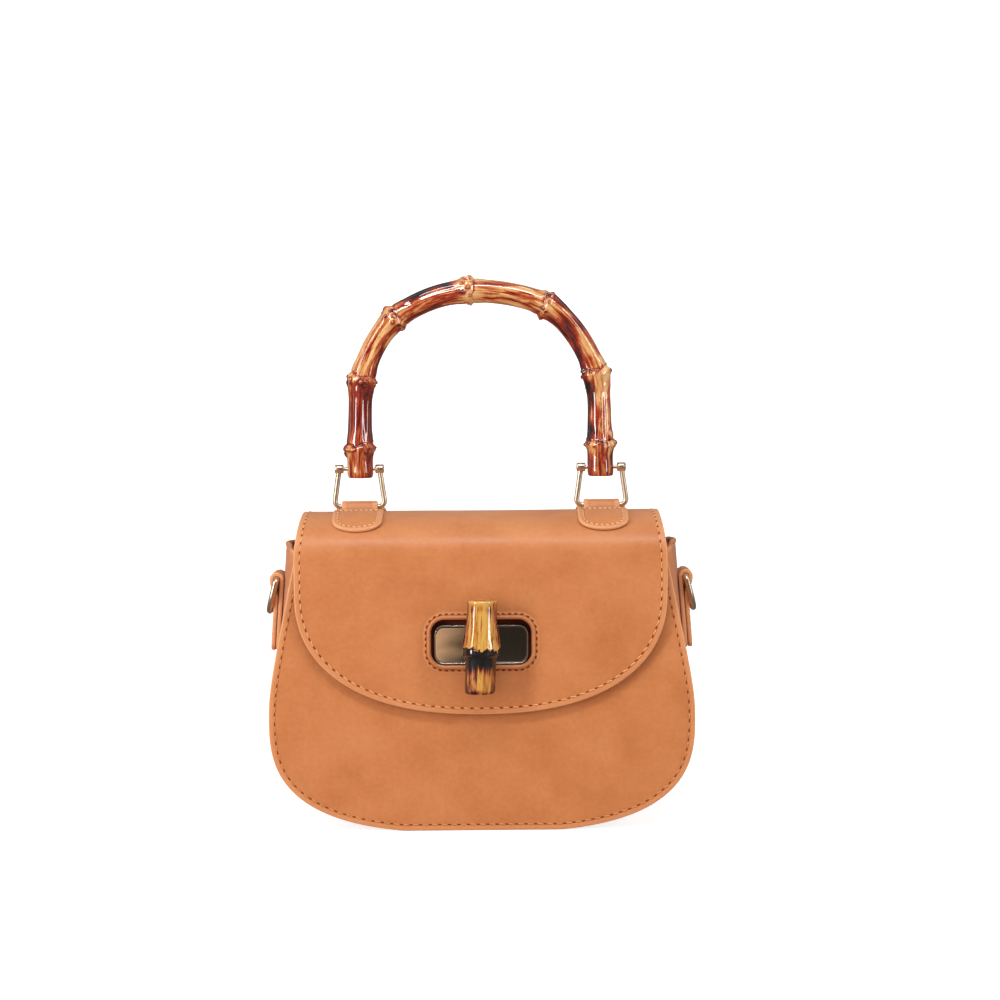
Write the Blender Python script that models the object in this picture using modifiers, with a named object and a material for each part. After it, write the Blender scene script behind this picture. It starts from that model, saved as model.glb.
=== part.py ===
"""A small handbag: leather body and flap, bamboo handle on two shackles, turn lock, side rings.

Metres, +Z up, the front towards -Y. The origin lies under the middle of the whole bag.
"""

import math

import bmesh
import bpy
from mathutils import Vector

# Bag body, measured on the flat front
body_half_width = 0.105
belly_height = 0.057
belly_drop = 0.058
belly_exponent = 2.85
side_ease = 0.0036
side_slope_share = 0.215
panel_height = 0.137
base_depth = 0.072
top_depth = 0.0603
panel_thickness = 0.0024
panel_edge_round = 0.0006
gusset_thickness = 0.0016
seam_flange = 0.0040
gusset_bulge = 0.0098
gusset_bulge_start = 0.060
gusset_peak = 0.0035
gusset_peak_power = 3
board_thickness = 0.0012
base_board_share = 0.38
base_board_corner = 0.010
lining_thickness = 0.0008
lining_corner_share = 0.22
lining_corner_power = 6
lining_places_shares = (-1, -0.85, -0.6, 0, 0.6, 0.85, 1)
pocket_half_width = 0.052
pocket_height = 0.070
pocket_base = 0.040
pocket_slack = 0.0030
pocket_thickness = 0.0006

# Flap
flap_half_width = 0.0916
flap_tip_height = 0.0580
flap_round_height = 0.0608
flap_exponent = 2.35
flap_back_height = 0.128
crest_height = 0.1556
shoulder_drop = 0.0186
flap_crest_narrowing = 0.0030
flap_gap = 0.0005
flap_lining_thickness = 0.0006
flap_board_thickness = 0.0006
flap_leather_thickness = 0.0014
flap_board_margin = 0.007
flap_lining_margin = 0.0008

# Turn lock
slot_width = 0.049
slot_opening = 0.0222
slot_corner = 0.0065
trim_width = 0.0027
trim_rise = 0.0010
trim_wall = 0.0009
rim_round_share = 0.45
plate_height = 0.0921
plate_width = 0.046
plate_breadth = 0.0190
slot_lift = 0.0013
plate_corner = 0.0045
plate_thickness = 0.0022
plate_edge_round = 0.0009
leg_width = 0.0040
leg_thickness = 0.0009
leg_foot = 0.0040
leg_inset = 0.0035
backing_width = 0.038
backing_breadth = 0.015
backing_corner = 0.0030
backing_thickness = 0.0010
shaft_diameter = 0.0046
shaft_collar_diameter = 0.0084
shaft_collar_thickness = 0.0012
shaft_neck_diameter = 0.0060
spring_diameter = 0.0100
spring_thickness = 0.0003
spring_dish = 0.0005
screw_diameter = 0.0022
screw_head_diameter = 0.0070
screw_head_thickness = 0.0014
screw_slot_width = 0.0008
screw_slot_depth = 0.0006
screw_bite = 0.0050
toggle_length = 0.0448
toggle_reach = 0.011
toggle_socket_depth = 0.0030
toggle_radius = 0.0074
toggle_knot_rise = 0.0019
toggle_knot_share = 0.51

# Handle tabs and shackles
tab_spacing = 0.1220
tab_loop_half_width = 0.0090
tab_pad_half_width = 0.0125
tab_pad_reach = 0.0270
tab_neck_start = 0.0060
tab_neck_end = 0.0095
tab_thickness = 0.0015
tab_fillet = 0.0015
tab_tip_share = 0.97
shackle_wire = 0.0026
shackle_bar_height = 0.1579
shackle_rise = 0.0192
shackle_foot_half_width = 0.0122
shackle_eye_spacing = 0.0208
shackle_corner = 0.0030
eye_diameter = 0.0044
eye_length = 0.0044
pin_diameter = 0.0019

# Bamboo handle
handle_leg_spacing = 0.1210
handle_leg_drop = 0.0043
handle_arch_height = 0.0280
handle_arch_rise = 0.0609
handle_arch_exponent = 2.25
handle_radius = 0.0059
handle_foot_radius = 0.0064
handle_foot_length = 0.0400
knot_places_shares = (0.056, 0.188, 0.326, 0.481, 0.638, 0.803, 0.940)
knot_rises = (0.0020, 0.0019, 0.0016, 0.0013, 0.0020, 0.0019, 0.0020)
knot_spread = 0.0042
knot_ridge_spread = 0.0011
knot_ridge_share = 0.35
knot_groove_share = 0.30
knot_groove_offset = 0.0024

# Side tabs and rings
side_tab_width = 0.0160
side_tab_thickness = 0.0021
side_tab_tail_height = 0.086
side_bar_height = 0.1222
side_tab_closing = 0.0100
ring_wire = 0.0025
ring_width = 0.0200
ring_drop = 0.0172
ring_corner_share = 0.95

# Clearances and cuts
seat_gap = 0.0003
cut_overrun = 0.0020
weld_distance = 0.00001

# How finely the outlines are drawn
outline_steps = 300
body_steps = 28
arc_steps = 6
tab_steps = 20
wire_side_steps = 2
cane_side_steps = 5
turning_steps = 28
hole_sides = 20
sharp_edge_angle = math.radians(35)

lean = math.atan((base_depth - top_depth) / 2 / panel_height)
flap_reach = flap_gap + flap_lining_thickness + flap_board_thickness
flap_reach += flap_leather_thickness + 2 * seat_gap
base_board_half_length = body_half_width * base_board_share
slot_height = plate_height + slot_lift
plate_top = seat_gap + plate_thickness
toggle_axis_reach = plate_top + toggle_reach
board_depth = panel_thickness + seat_gap
lining_depth = board_depth + board_thickness + seat_gap
backing_depth = lining_depth + lining_thickness + seat_gap
lining_inset = seam_flange + gusset_thickness + board_thickness + 3 * seat_gap
bar_radius = shackle_wire / 2
eye_bore = pin_diameter / 2 + seat_gap
front_reach = base_depth / 2 - plate_height * math.sin(lean) / math.cos(lean)
front_reach += (toggle_axis_reach + toggle_radius + toggle_knot_rise) * math.cos(lean)
bag_setback = (front_reach - base_depth / 2) / 2


def clear_scene():
    for old in list(bpy.data.objects):
        bpy.data.objects.remove(old, do_unlink=True)


def new_collection(name):
    made = bpy.data.collections.new(name)
    bpy.context.scene.collection.children.link(made)
    return made


def finish(name, colour, roughness, metallic=0.0):
    """A material of one colour."""
    made = bpy.data.materials.new(name)
    made.use_nodes = True
    shader = made.node_tree.nodes["Principled BSDF"]
    shader.inputs["Base Color"].default_value = (*colour, 1)
    shader.inputs["Roughness"].default_value = roughness
    shader.inputs["Metallic"].default_value = metallic
    made.diffuse_color = (*colour, 1)
    return made


def add_frame(name, parent, place=(0, 0, 0), turn=(0, 0, 0)):
    """An empty that carries parts, at a place in its parent."""
    empty = bpy.data.objects.new(name, None)
    empty.parent = parent
    empty.location = place
    empty.rotation_euler = turn
    handbag.objects.link(empty)
    return empty


def add_part(name, mesh, material, parent):
    """A named piece of the bag, in its parent's frame."""
    mesh.name = name
    mesh.materials.clear()
    mesh.materials.append(material)
    part = bpy.data.objects.new(name, mesh)
    part.parent = parent
    handbag.objects.link(part)
    return part


def add_cutter(name, mesh, parent):
    """A helper solid that cuts or trims parts and is never shown."""
    cutter = bpy.data.objects.new(name, mesh)
    cutter.parent = parent
    cutter.hide_render = True
    cutter.display_type = "WIRE"
    cutters.objects.link(cutter)
    return cutter


def combine(part, other, operation="DIFFERENCE"):
    modifier = part.modifiers.new(operation.lower(), "BOOLEAN")
    modifier.operation = operation
    modifier.solver = "EXACT"
    modifier.object = other


def round_shading(mesh, sharp_angle=sharp_edge_angle):
    mesh.shade_smooth()
    mesh.set_sharp_from_angle(angle=sharp_angle)
    return mesh


def mesh_of_curve(curve):
    """The closed mesh of a curve, with its caps welded on."""
    guide = bpy.data.objects.new(curve.name, curve)
    cutters.objects.link(guide)
    bpy.context.view_layer.update()
    evaluated = guide.evaluated_get(bpy.context.evaluated_depsgraph_get())
    mesh = bpy.data.meshes.new_from_object(evaluated)
    bpy.data.objects.remove(guide)
    work = bmesh.new()
    work.from_mesh(mesh)
    bmesh.ops.remove_doubles(work, verts=work.verts, dist=weld_distance)
    bmesh.ops.recalc_face_normals(work, faces=work.faces)
    work.to_mesh(mesh)
    work.free()
    return mesh


def corners_only(outline):
    """An outline without the points that lie on the straight line between their neighbours."""
    kept = []
    for index, (x, y) in enumerate(outline):
        before, after = outline[index - 1], outline[(index + 1) % len(outline)]
        run = (after[0] - before[0], after[1] - before[1])
        off_line = run[0] * (y - before[1]) - run[1] * (x - before[0])
        if abs(off_line) > weld_distance / 10 * math.hypot(*run):
            kept.append((x, y))
    return kept


def flat_solid(name, outline, low, high, edge_round=0.0):
    """A plate with this outline in X and Y, between two heights, its edges rounded."""
    outline = corners_only(outline)
    curve = bpy.data.curves.new(name, "CURVE")
    curve.dimensions = "2D"
    curve.fill_mode = "BOTH"
    curve.extrude = (high - low) / 2 - edge_round
    curve.bevel_depth = edge_round
    curve.bevel_resolution = 0
    curve.offset = -edge_round
    spline = curve.splines.new("POLY")
    spline.points.add(len(outline) - 1)
    for point, (x, y) in zip(spline.points, outline):
        point.co = (x, y, 0, 1)
    spline.use_cyclic_u = True
    mesh = mesh_of_curve(curve)
    for vertex in mesh.vertices:
        vertex.co.z += (low + high) / 2
    return mesh


def tube(name, points, diameter, closed=False, level=wire_side_steps, radius_shares=None):
    """A round wire or cane along points; the shares scale its radius at each point."""
    curve = bpy.data.curves.new(name, "CURVE")
    curve.dimensions = "3D"
    curve.bevel_depth = diameter / 2
    curve.bevel_resolution = level
    curve.use_fill_caps = not closed
    spline = curve.splines.new("POLY")
    spline.points.add(len(points) - 1)
    for index, place in enumerate(points):
        spline.points[index].co = (*place, 1)
        if radius_shares:
            spline.points[index].radius = radius_shares[index]
    spline.use_cyclic_u = closed
    return round_shading(mesh_of_curve(curve))


def sheet(rows, looped=False, floor=False):
    """An open surface through rows of points, each row closed on itself if looped."""
    work = bmesh.new()
    grid = [[work.verts.new(place) for place in row] for row in rows]
    for low, high in zip(grid, grid[1:]):
        count = len(low)
        for index in range(count if looped else count - 1):
            after = (index + 1) % count
            work.faces.new((low[index], low[after], high[after], high[index]))
    if floor:
        work.faces.new(grid[0])
    bmesh.ops.recalc_face_normals(work, faces=work.faces)
    mesh = bpy.data.meshes.new("sheet")
    work.to_mesh(mesh)
    work.free()
    return round_shading(mesh)


def thicken(part, thickness, side=0.0):
    """Gives a sheet its thickness: about itself at side 0, or all to one side at -1 or 1."""
    modifier = part.modifiers.new("thickness", "SOLIDIFY")
    modifier.thickness = thickness
    modifier.offset = side
    modifier.use_even_offset = True


def turned(part_name, profile, material, parent, ring=False, steps=turning_steps):
    """A solid turned about Z from (radius, height) points that run from top to bottom outside.

    A ring's profile closes on itself away from the axis.
    """
    work = bmesh.new()
    verts = [work.verts.new((radius, 0, height)) for radius, height in profile]
    ends = zip(verts, verts[1:] + verts[:1] if ring else verts[1:])
    for first, second in ends:
        work.edges.new((first, second))
    mesh = bpy.data.meshes.new(part_name)
    work.to_mesh(mesh)
    work.free()
    part = add_part(part_name, mesh, material, parent)
    screw = part.modifiers.new("turn", "SCREW")
    screw.axis = "Z"
    screw.steps = steps
    screw.render_steps = steps
    screw.use_merge_vertices = True
    screw.merge_threshold = weld_distance
    screw.use_smooth_shade = False
    return part


def cylinder_mesh(radius, low, high, axis="Z", segments=hole_sides):
    work = bmesh.new()
    bmesh.ops.create_cone(
        work, cap_ends=True, segments=segments, radius1=radius, radius2=radius, depth=high - low
    )
    bmesh.ops.translate(work, verts=work.verts, vec=(0, 0, (low + high) / 2))
    mesh = bpy.data.meshes.new("cylinder")
    work.to_mesh(mesh)
    work.free()
    if axis == "X":
        for vertex in mesh.vertices:
            vertex.co = (vertex.co.z, vertex.co.x, vertex.co.y)
    return mesh


def add_box(work, low, high):
    """Adds a box between two corners."""
    made = bmesh.ops.create_cube(work)
    for vertex in made["verts"]:
        corner = vertex.co
        vertex.co = [high[axis] if corner[axis] > 0 else low[axis] for axis in range(3)]


def boxes_mesh(corners):
    work = bmesh.new()
    for low, high in corners:
        add_box(work, low, high)
    mesh = bpy.data.meshes.new("boxes")
    work.to_mesh(mesh)
    work.free()
    return mesh


def rounded_outline(width, height, corner, centre_height=0.0):
    """A rectangle with round corners about the middle of X."""
    points = []
    quarter_turns = ((1, 1), (-1, 1), (-1, -1), (1, -1))
    for quarter, (side, rise) in enumerate(quarter_turns):
        for step in range(arc_steps + 1):
            turn = math.pi / 2 * (quarter + step / arc_steps)
            x = side * (width / 2 - corner) + corner * math.cos(turn)
            y = rise * (height / 2 - corner) + corner * math.sin(turn)
            points.append((x, centre_height + y))
    return points


def rounded_path(corners, radius, closed=False):
    """A line through corners, each one turned with an arc of this radius."""
    count = len(corners)
    points = []
    for index, corner in enumerate(corners):
        if not closed and index in (0, count - 1):
            points.append(Vector(corner))
            continue
        here = Vector(corner)
        back = (Vector(corners[index - 1]) - here).normalized()
        ahead = (Vector(corners[(index + 1) % count]) - here).normalized()
        half = back.angle(ahead) / 2
        centre = here + (back + ahead).normalized() * radius / math.sin(half)
        start = here + back * radius / math.tan(half) - centre
        end = here + ahead * radius / math.tan(half) - centre
        whole = math.pi - 2 * half
        for step in range(arc_steps + 1):
            turn = whole * step / arc_steps
            mixed = start * math.sin(whole - turn) + end * math.sin(turn)
            points.append(centre + mixed / math.sin(whole))
    return points


def respaced(points, count):
    """The same line as evenly spaced points."""
    lengths = [0.0]
    for first, second in zip(points, points[1:]):
        lengths.append(lengths[-1] + math.dist(first, second))
    even = []
    index = 0
    for step in range(count):
        wanted = lengths[-1] * step / (count - 1)
        while index < len(points) - 2 and lengths[index + 1] < wanted:
            index += 1
        span = lengths[index + 1] - lengths[index]
        share = (wanted - lengths[index]) / span if span else 0.0
        pairs = zip(points[index], points[index + 1])
        even.append(tuple(low + (high - low) * share for low, high in pairs))
    return even


def outward_normals(line):
    """Unit normals to the right of a flat line, at each of its points."""
    normals = []
    for index in range(len(line)):
        before = line[max(0, index - 1)]
        after = line[min(len(line) - 1, index + 1)]
        across, up = after[0] - before[0], after[1] - before[1]
        length = math.hypot(across, up)
        normals.append((up / length, -across / length))
    return normals


def moved_in(line, distance):
    """A flat line moved in by a distance, on the left of its run."""
    pairs = zip(line, outward_normals(line))
    return [(x - across * distance, y - up * distance) for (x, y), (across, up) in pairs]


def mirrored_outline(half):
    """A whole outline from its right half, which runs from the bottom to the top."""
    left = [(-x, y) for x, y in reversed(half) if x > weld_distance]
    return [*half, *left]


def on_front(rise, depth):
    """(y, z) at a distance up the front panel and a depth behind its outer face."""
    y = -base_depth / 2 + rise * math.sin(lean) + depth * math.cos(lean)
    z = rise * math.cos(lean) - depth * math.sin(lean)
    return y, z


def body_side(floor, count=body_steps):
    """The right half of the body's outline, from the middle of the base to the top corner."""
    line = []
    for step in range(outline_steps + 1):
        turn = math.pi / 2 * step / outline_steps
        x = body_half_width * math.sin(turn) ** (2 / belly_exponent)
        drop = belly_drop * math.cos(turn) ** (2 / belly_exponent)
        line.append((x, max(floor, belly_height - drop)))
    for step in range(1, outline_steps + 1):
        above = (panel_height - belly_height) * step / outline_steps
        narrowing = math.hypot(side_ease, side_slope_share * above) - side_ease
        line.append((body_half_width - narrowing, belly_height + above))
    return respaced(line, count)


def bulge_share(height):
    """How far the gusset has swelled at a height: none low down, all of it at the top."""
    return max(0.0, (height - gusset_bulge_start) / (panel_height - gusset_bulge_start))


def panel(name, parent):
    """An outer leather panel, trimmed flat where the bag stands."""
    outline = mirrored_outline(body_side(belly_height - belly_drop))
    mesh = flat_solid(name, outline, -panel_thickness, 0, panel_edge_round)
    part = add_part(name, mesh, leather, parent)
    combine(part, ground_trim)
    return part


def board(name, parent):
    """The stiff board behind a panel, inside the gusset's seam."""
    side = moved_in(body_side(0), seam_flange + gusset_thickness + seat_gap)
    outline = mirrored_outline(side)
    mesh = flat_solid(name, outline, -board_depth - board_thickness, -board_depth)
    return add_part(name, mesh, card, parent)


def gusset_part():
    """The strip between the panels, its edges turned out along them and its top swelling out."""
    line = body_side(0)
    depth = panel_thickness + seat_gap + gusset_thickness / 2
    wall_shares = (0, 0.1, 0.3, 0.5, 0.7, 0.9, 1)
    rows = []
    for (x, rise), (across, up) in zip(line, outward_normals(line)):
        share = bulge_share(rise)
        y, edge_z = on_front(rise - up * seat_gap, depth)
        row = [(x - across * seat_gap, y, edge_z)]
        for wall in wall_shares:
            swell = 4 * wall * (1 - wall)
            inset = seam_flange - gusset_bulge * share * swell
            wall_y, wall_z = on_front(rise - up * inset, depth)
            wall_z += gusset_peak * share**gusset_peak_power * swell
            row.append((max(0, x - across * inset), wall_y * (1 - 2 * wall), wall_z))
        row.append((x - across * seat_gap, -y, edge_z))
        rows.append(row)
    for place, row in enumerate(rows[0]):
        rows[0][place] = (0, *row[1:])
    part = add_part("gusset", sheet(rows), leather, bag)
    mirror = part.modifiers.new("left half", "MIRROR")
    mirror.merge_threshold = weld_distance
    thicken(part, gusset_thickness)
    return part


def lining_loop(half_width, height):
    """The lining's outline at a height, its ends swelled as the gusset is."""
    y, z = on_front(height, lining_depth + lining_thickness / 2)
    share = bulge_share(height)
    corner = lining_corner_share * abs(y)
    right = []
    for along in lining_places_shares:
        swell = gusset_bulge * share * (1 - along**2)
        ease = corner * abs(along) ** lining_corner_power
        right.append((half_width - ease + swell, -y * along, z))
    left = [(-x, -across, z) for x, across, z in right]
    return right + left


def lining_part():
    """The cloth bag inside the boards, open at the top."""
    side = moved_in(body_side(0), lining_inset + lining_thickness / 2)
    floor = side[0][1]
    climbing = [(x, rise) for x, rise in side if rise > floor + weld_distance]
    first = [(x, rise) for x, rise in side if rise <= floor + weld_distance][-1]
    rows = [lining_loop(x, rise) for x, rise in [first, *climbing]]
    part = add_part("lining", sheet(rows, looped=True, floor=True), cloth, bag)
    thicken(part, lining_thickness)
    return part


def base_board_part():
    """The stiff board that lies on the gusset under the lining."""
    depth = board_depth + gusset_thickness + seam_flange
    half_depth = base_depth / 2 - depth
    low = seam_flange + gusset_thickness / 2 + 2 * seat_gap
    outline = rounded_outline(2 * base_board_half_length, 2 * half_depth, base_board_corner)
    mesh = flat_solid("base_board", outline, low, low + board_thickness)
    return add_part("base_board", mesh, card, bag)


def inner_pocket_part():
    """A slip pocket on the back wall of the lining, open at the top."""
    rows = []
    for rise_step in range(arc_steps + 1):
        up = rise_step / arc_steps
        row = []
        for step in range(2 * arc_steps + 1):
            across = -1 + step / arc_steps
            slack = pocket_slack * (1 - across**2) * math.sin(math.pi / 2 * up)
            depth = backing_depth + pocket_thickness / 2 + slack
            row.append((across * pocket_half_width, pocket_base + up * pocket_height, -depth))
        rows.append(row)
    part = add_part("inner_pocket", sheet(rows), cloth, back_frame)
    thicken(part, pocket_thickness)
    return part


def shoulder_shape():
    """The flap's half depth at its shoulders, and the turn where its arch leaves the front."""
    half_depth = base_depth / 2
    for _ in range(arc_steps):
        turn = math.atan(shoulder_drop / half_depth * math.tan(lean))
        height = crest_height - shoulder_drop * (1 - math.sin(turn))
        front = base_depth / 2 + flap_reach / math.cos(lean) - height * math.tan(lean)
        half_depth = front / math.cos(turn)
    return half_depth, turn


def crest_line(reach):
    """(y, z) points from the front shoulder to the crest, at a reach outside the panels.

    The flap arches over the bag as a half ellipse; inner layers lie parallel to it.
    """
    half_depth, low_turn = shoulder_shape()
    inward = flap_reach - reach
    points = []
    steps = 3 * arc_steps
    for step in range(steps + 1):
        turn = low_turn + (math.pi / 2 - low_turn) * step / steps
        run = -shoulder_drop * math.cos(turn)
        rise = half_depth * math.sin(turn)
        length = math.hypot(run, rise)
        y = -half_depth * math.cos(turn) - run / length * inward
        z = crest_height - shoulder_drop * (1 - math.sin(turn)) - rise / length * inward
        points.append((y, z))
    return points


def over_the_bag(reach, front_end, back_end):
    """(y, z) points at a reach outside the panels, from low on the front to the back."""
    crest = crest_line(reach)
    back = [(-y, z) for y, z in reversed(crest[:-1])]
    front_y, front_z = on_front(front_end, -reach)
    back_y, back_z = on_front(back_end, -reach)
    return [(front_y, front_z), *crest, *back, (-back_y, back_z)]


def flap_outline(margin):
    """The flap's outline on the front, inside its edge by a margin; the top runs past the crest."""
    half = []
    steps = 4 * arc_steps
    for step in range(steps + 1):
        turn = math.pi / 2 * step / steps
        x = (flap_half_width - margin) * math.sin(turn) ** (2 / flap_exponent)
        drop = (flap_round_height - margin) * math.cos(turn) ** (2 / flap_exponent)
        half.append((x, flap_tip_height + flap_round_height - drop))
    narrow = flap_half_width - flap_crest_narrowing - margin
    half.append((flap_half_width - margin, crest_height - shoulder_drop))
    half.append((narrow, crest_height))
    half.append((narrow, crest_height + flap_half_width))
    return mirrored_outline(half)


def flap_layer(name, inner, thickness, margin, material, back_height, trim_gap):
    """One layer of the flap: a bent strap trimmed to the flap's outline, with the lock's slot."""
    front_end = flap_tip_height - cut_overrun
    outer_line = over_the_bag(inner + thickness, front_end, back_height)
    inner_line = over_the_bag(inner, front_end, back_height)
    outline = [*outer_line, *reversed(inner_line)]
    half_width = flap_half_width + cut_overrun
    mesh = flat_solid(name, outline, -half_width, half_width)
    part = add_part(name, mesh, material, across_frame)
    reach = base_depth + flap_reach + cut_overrun
    shape = flat_solid(name, flap_outline(margin), -reach, flap_reach + cut_overrun)
    combine(part, add_cutter(name + "_outline", shape, front_frame), "INTERSECT")
    opening = rounded_outline(
        slot_width + 2 * trim_gap, slot_opening + 2 * trim_gap, slot_corner + trim_gap, slot_height
    )
    slot = flat_solid(name, opening, -cut_overrun, flap_reach + cut_overrun)
    combine(part, add_cutter(name + "_slot", slot, front_frame))
    return part


def slot_trim_part():
    """The leather binding of the slot: a raised rim with a lip down through the flap."""
    outer = rounded_outline(
        slot_width + 2 * trim_width,
        slot_opening + 2 * trim_width,
        slot_corner + trim_width,
        slot_height,
    )
    neck = rounded_outline(
        slot_width + 2 * trim_wall, slot_opening + 2 * trim_wall, slot_corner + trim_wall, slot_height
    )
    inner = rounded_outline(slot_width, slot_opening, slot_corner, slot_height)
    low = flap_reach + seat_gap
    rim = flat_solid("slot_trim", outer, low, low + trim_rise, trim_rise * rim_round_share)
    part = add_part("slot_trim", rim, leather, front_frame)
    lip = flat_solid("trim_lip", neck, flap_gap, low + trim_rise / 2)
    combine(part, add_cutter("trim_lip", lip, front_frame), "UNION")
    hole = flat_solid("trim_hole", inner, flap_gap - cut_overrun, low + trim_rise + cut_overrun)
    combine(part, add_cutter("trim_hole", hole, front_frame))
    return part


def leg_boxes(gap, with_feet):
    """The lock plate's four legs as boxes; their bent feet lie behind the backing plate."""
    boxes = []
    behind = backing_depth + backing_thickness + seat_gap
    for side in (-1, 1):
        for rise in (-1, 1):
            x = side * (backing_width / 2 - leg_inset)
            y = plate_height + rise * (plate_breadth / 2 - leg_inset)
            low = (x - leg_thickness / 2 - gap, y - leg_width / 2 - gap)
            high = (x + leg_thickness / 2 + gap, y + leg_width / 2 + gap)
            bottom = -behind - leg_thickness - (0 if with_feet else cut_overrun)
            boxes.append(((*low, bottom), (*high, seat_gap + plate_thickness / 2)))
            if with_feet:
                bent = x - side * leg_foot
                foot_low = (min(bent, low[0]), low[1], bottom)
                foot_high = (max(bent, high[0]), high[1], -behind)
                boxes.append((foot_low, foot_high))
    return boxes


def shaft_way(radius):
    """A cylinder along the lock's shaft, through every layer."""
    mesh = cylinder_mesh(radius, -backing_depth - backing_thickness - cut_overrun, plate_top)
    for vertex in mesh.vertices:
        vertex.co.y += plate_height
        vertex.co.z += cut_overrun if vertex.co.z > 0 else 0
    return mesh


def lock_plate_part():
    """The metal plate on the front, held by four legs bent over inside."""
    outline = rounded_outline(plate_width, plate_breadth, plate_corner, plate_height)
    mesh = flat_solid("lock_plate", outline, seat_gap, plate_top, plate_edge_round)
    part = add_part("lock_plate", mesh, gilt, front_frame)
    for number, (low, high) in enumerate(leg_boxes(0, True)):
        leg = add_cutter("plate_leg_%d" % number, boxes_mesh([(low, high)]), front_frame)
        combine(part, leg, "UNION")
    combine(part, shaft_hole)
    return part


def lock_backing_part():
    outline = rounded_outline(backing_width, backing_breadth, backing_corner, plate_height)
    low = -backing_depth - backing_thickness
    mesh = flat_solid("lock_backing", outline, low, -backing_depth)
    return add_part("lock_backing", mesh, steel, front_frame)


def lock_spring_part():
    """A dished spring washer behind the backing plate."""
    high = -backing_depth - backing_thickness - seat_gap
    hole = shaft_diameter / 2 + seat_gap
    outer = spring_diameter / 2
    profile = [
        (outer, high),
        (outer, high - spring_thickness),
        (hole, high - spring_thickness - spring_dish),
        (hole, high - spring_dish),
    ]
    return turned("lock_spring", profile, steel, lock_frame, ring=True)


def lock_shaft_part():
    """The hollow turned shaft that carries the toggle through the lock."""
    low = -backing_depth - backing_thickness - spring_thickness - spring_dish - 2 * seat_gap
    collar_low = plate_top + seat_gap
    collar_high = collar_low + shaft_collar_thickness
    top = toggle_axis_reach - toggle_radius + toggle_socket_depth
    bore = screw_diameter / 2 + seat_gap
    profile = [
        (bore, top),
        (shaft_neck_diameter / 2, top),
        (shaft_neck_diameter / 2, collar_high),
        (shaft_collar_diameter / 2, collar_high),
        (shaft_collar_diameter / 2, collar_low),
        (shaft_diameter / 2, collar_low),
        (shaft_diameter / 2, low),
        (bore, low),
    ]
    return turned("lock_shaft", profile, gilt, toggle_frame, ring=True)


def toggle_screw_part():
    """The screw that holds the bamboo from inside the bag."""
    shaft_low = -backing_depth - backing_thickness - spring_thickness - spring_dish
    shaft_low -= 2 * seat_gap
    head_top = shaft_low - seat_gap
    head_low = head_top - screw_head_thickness
    tip = toggle_axis_reach - toggle_radius + toggle_socket_depth + screw_bite
    profile = [
        (0, tip),
        (screw_diameter / 2, tip - screw_diameter / 2),
        (screw_diameter / 2, head_top),
        (screw_head_diameter / 2, head_top),
        (screw_head_diameter / 2, head_low),
        (0, head_low),
    ]
    part = turned("toggle_screw", profile, steel, toggle_frame)
    half = screw_head_diameter / 2 + cut_overrun
    low = (-half, -screw_slot_width / 2, head_low - cut_overrun)
    high = (half, screw_slot_width / 2, head_low + screw_slot_depth)
    combine(part, add_cutter("screw_slot", boxes_mesh([(low, high)]), toggle_frame))
    return part


def knot_swell(distance, rise):
    """How far a cane stands out near a knot: a wide swell, a ridge on it and a groove beside."""
    wide = math.exp(-((distance / knot_spread) ** 2))
    ridge = math.exp(-((distance / knot_ridge_spread) ** 2))
    groove = math.exp(-(((distance - knot_groove_offset) / knot_ridge_spread) ** 2))
    shape = (1 - knot_ridge_share) * wide + knot_ridge_share * ridge
    return rise * (shape - knot_groove_share * groove)


def cane_stations(length, knots):
    """Distances along a cane: close together at its knots and wide apart between them."""
    near_shares = (-1.7, -1.1, -0.7, -0.4, -0.2, 0, 0.25, 0.45, 0.65, 1.0, 1.7)
    stations = {0.0, length}
    for knot in knots:
        stations.update(knot + share * knot_spread for share in near_shares)
    stations = sorted(place for place in stations if 0 <= place <= length)
    filled = [stations[0]]
    for place in stations[1:]:
        gaps = max(1, round((place - filled[-1]) / (2 * knot_spread)))
        start = filled[-1]
        filled.extend(start + (place - start) * step / gaps for step in range(1, gaps + 1))
    return filled


def toggle_bamboo_part():
    """The short cane that turns on the lock."""
    knot = toggle_length * toggle_knot_share
    stations = cane_stations(toggle_length, [knot])
    points = []
    shares = []
    for place in stations:
        points.append((0, toggle_length / 2 - place, toggle_axis_reach))
        radius = toggle_radius + knot_swell(place - knot, toggle_knot_rise)
        shares.append(radius / toggle_radius)
    mesh = tube("toggle_bamboo", points, 2 * toggle_radius, False, cane_side_steps, shares)
    part = add_part("toggle_bamboo", mesh, bamboo, toggle_frame)
    socket_low = plate_top
    socket_high = toggle_axis_reach - toggle_radius + toggle_socket_depth + seat_gap
    socket = cylinder_mesh(shaft_neck_diameter / 2 + seat_gap, socket_low, socket_high)
    combine(part, add_cutter("toggle_socket", socket, toggle_frame))
    pilot = cylinder_mesh(
        screw_diameter / 2 + seat_gap, socket_low, socket_high + screw_bite
    )
    combine(part, add_cutter("toggle_pilot", pilot, toggle_frame))
    return part


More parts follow.
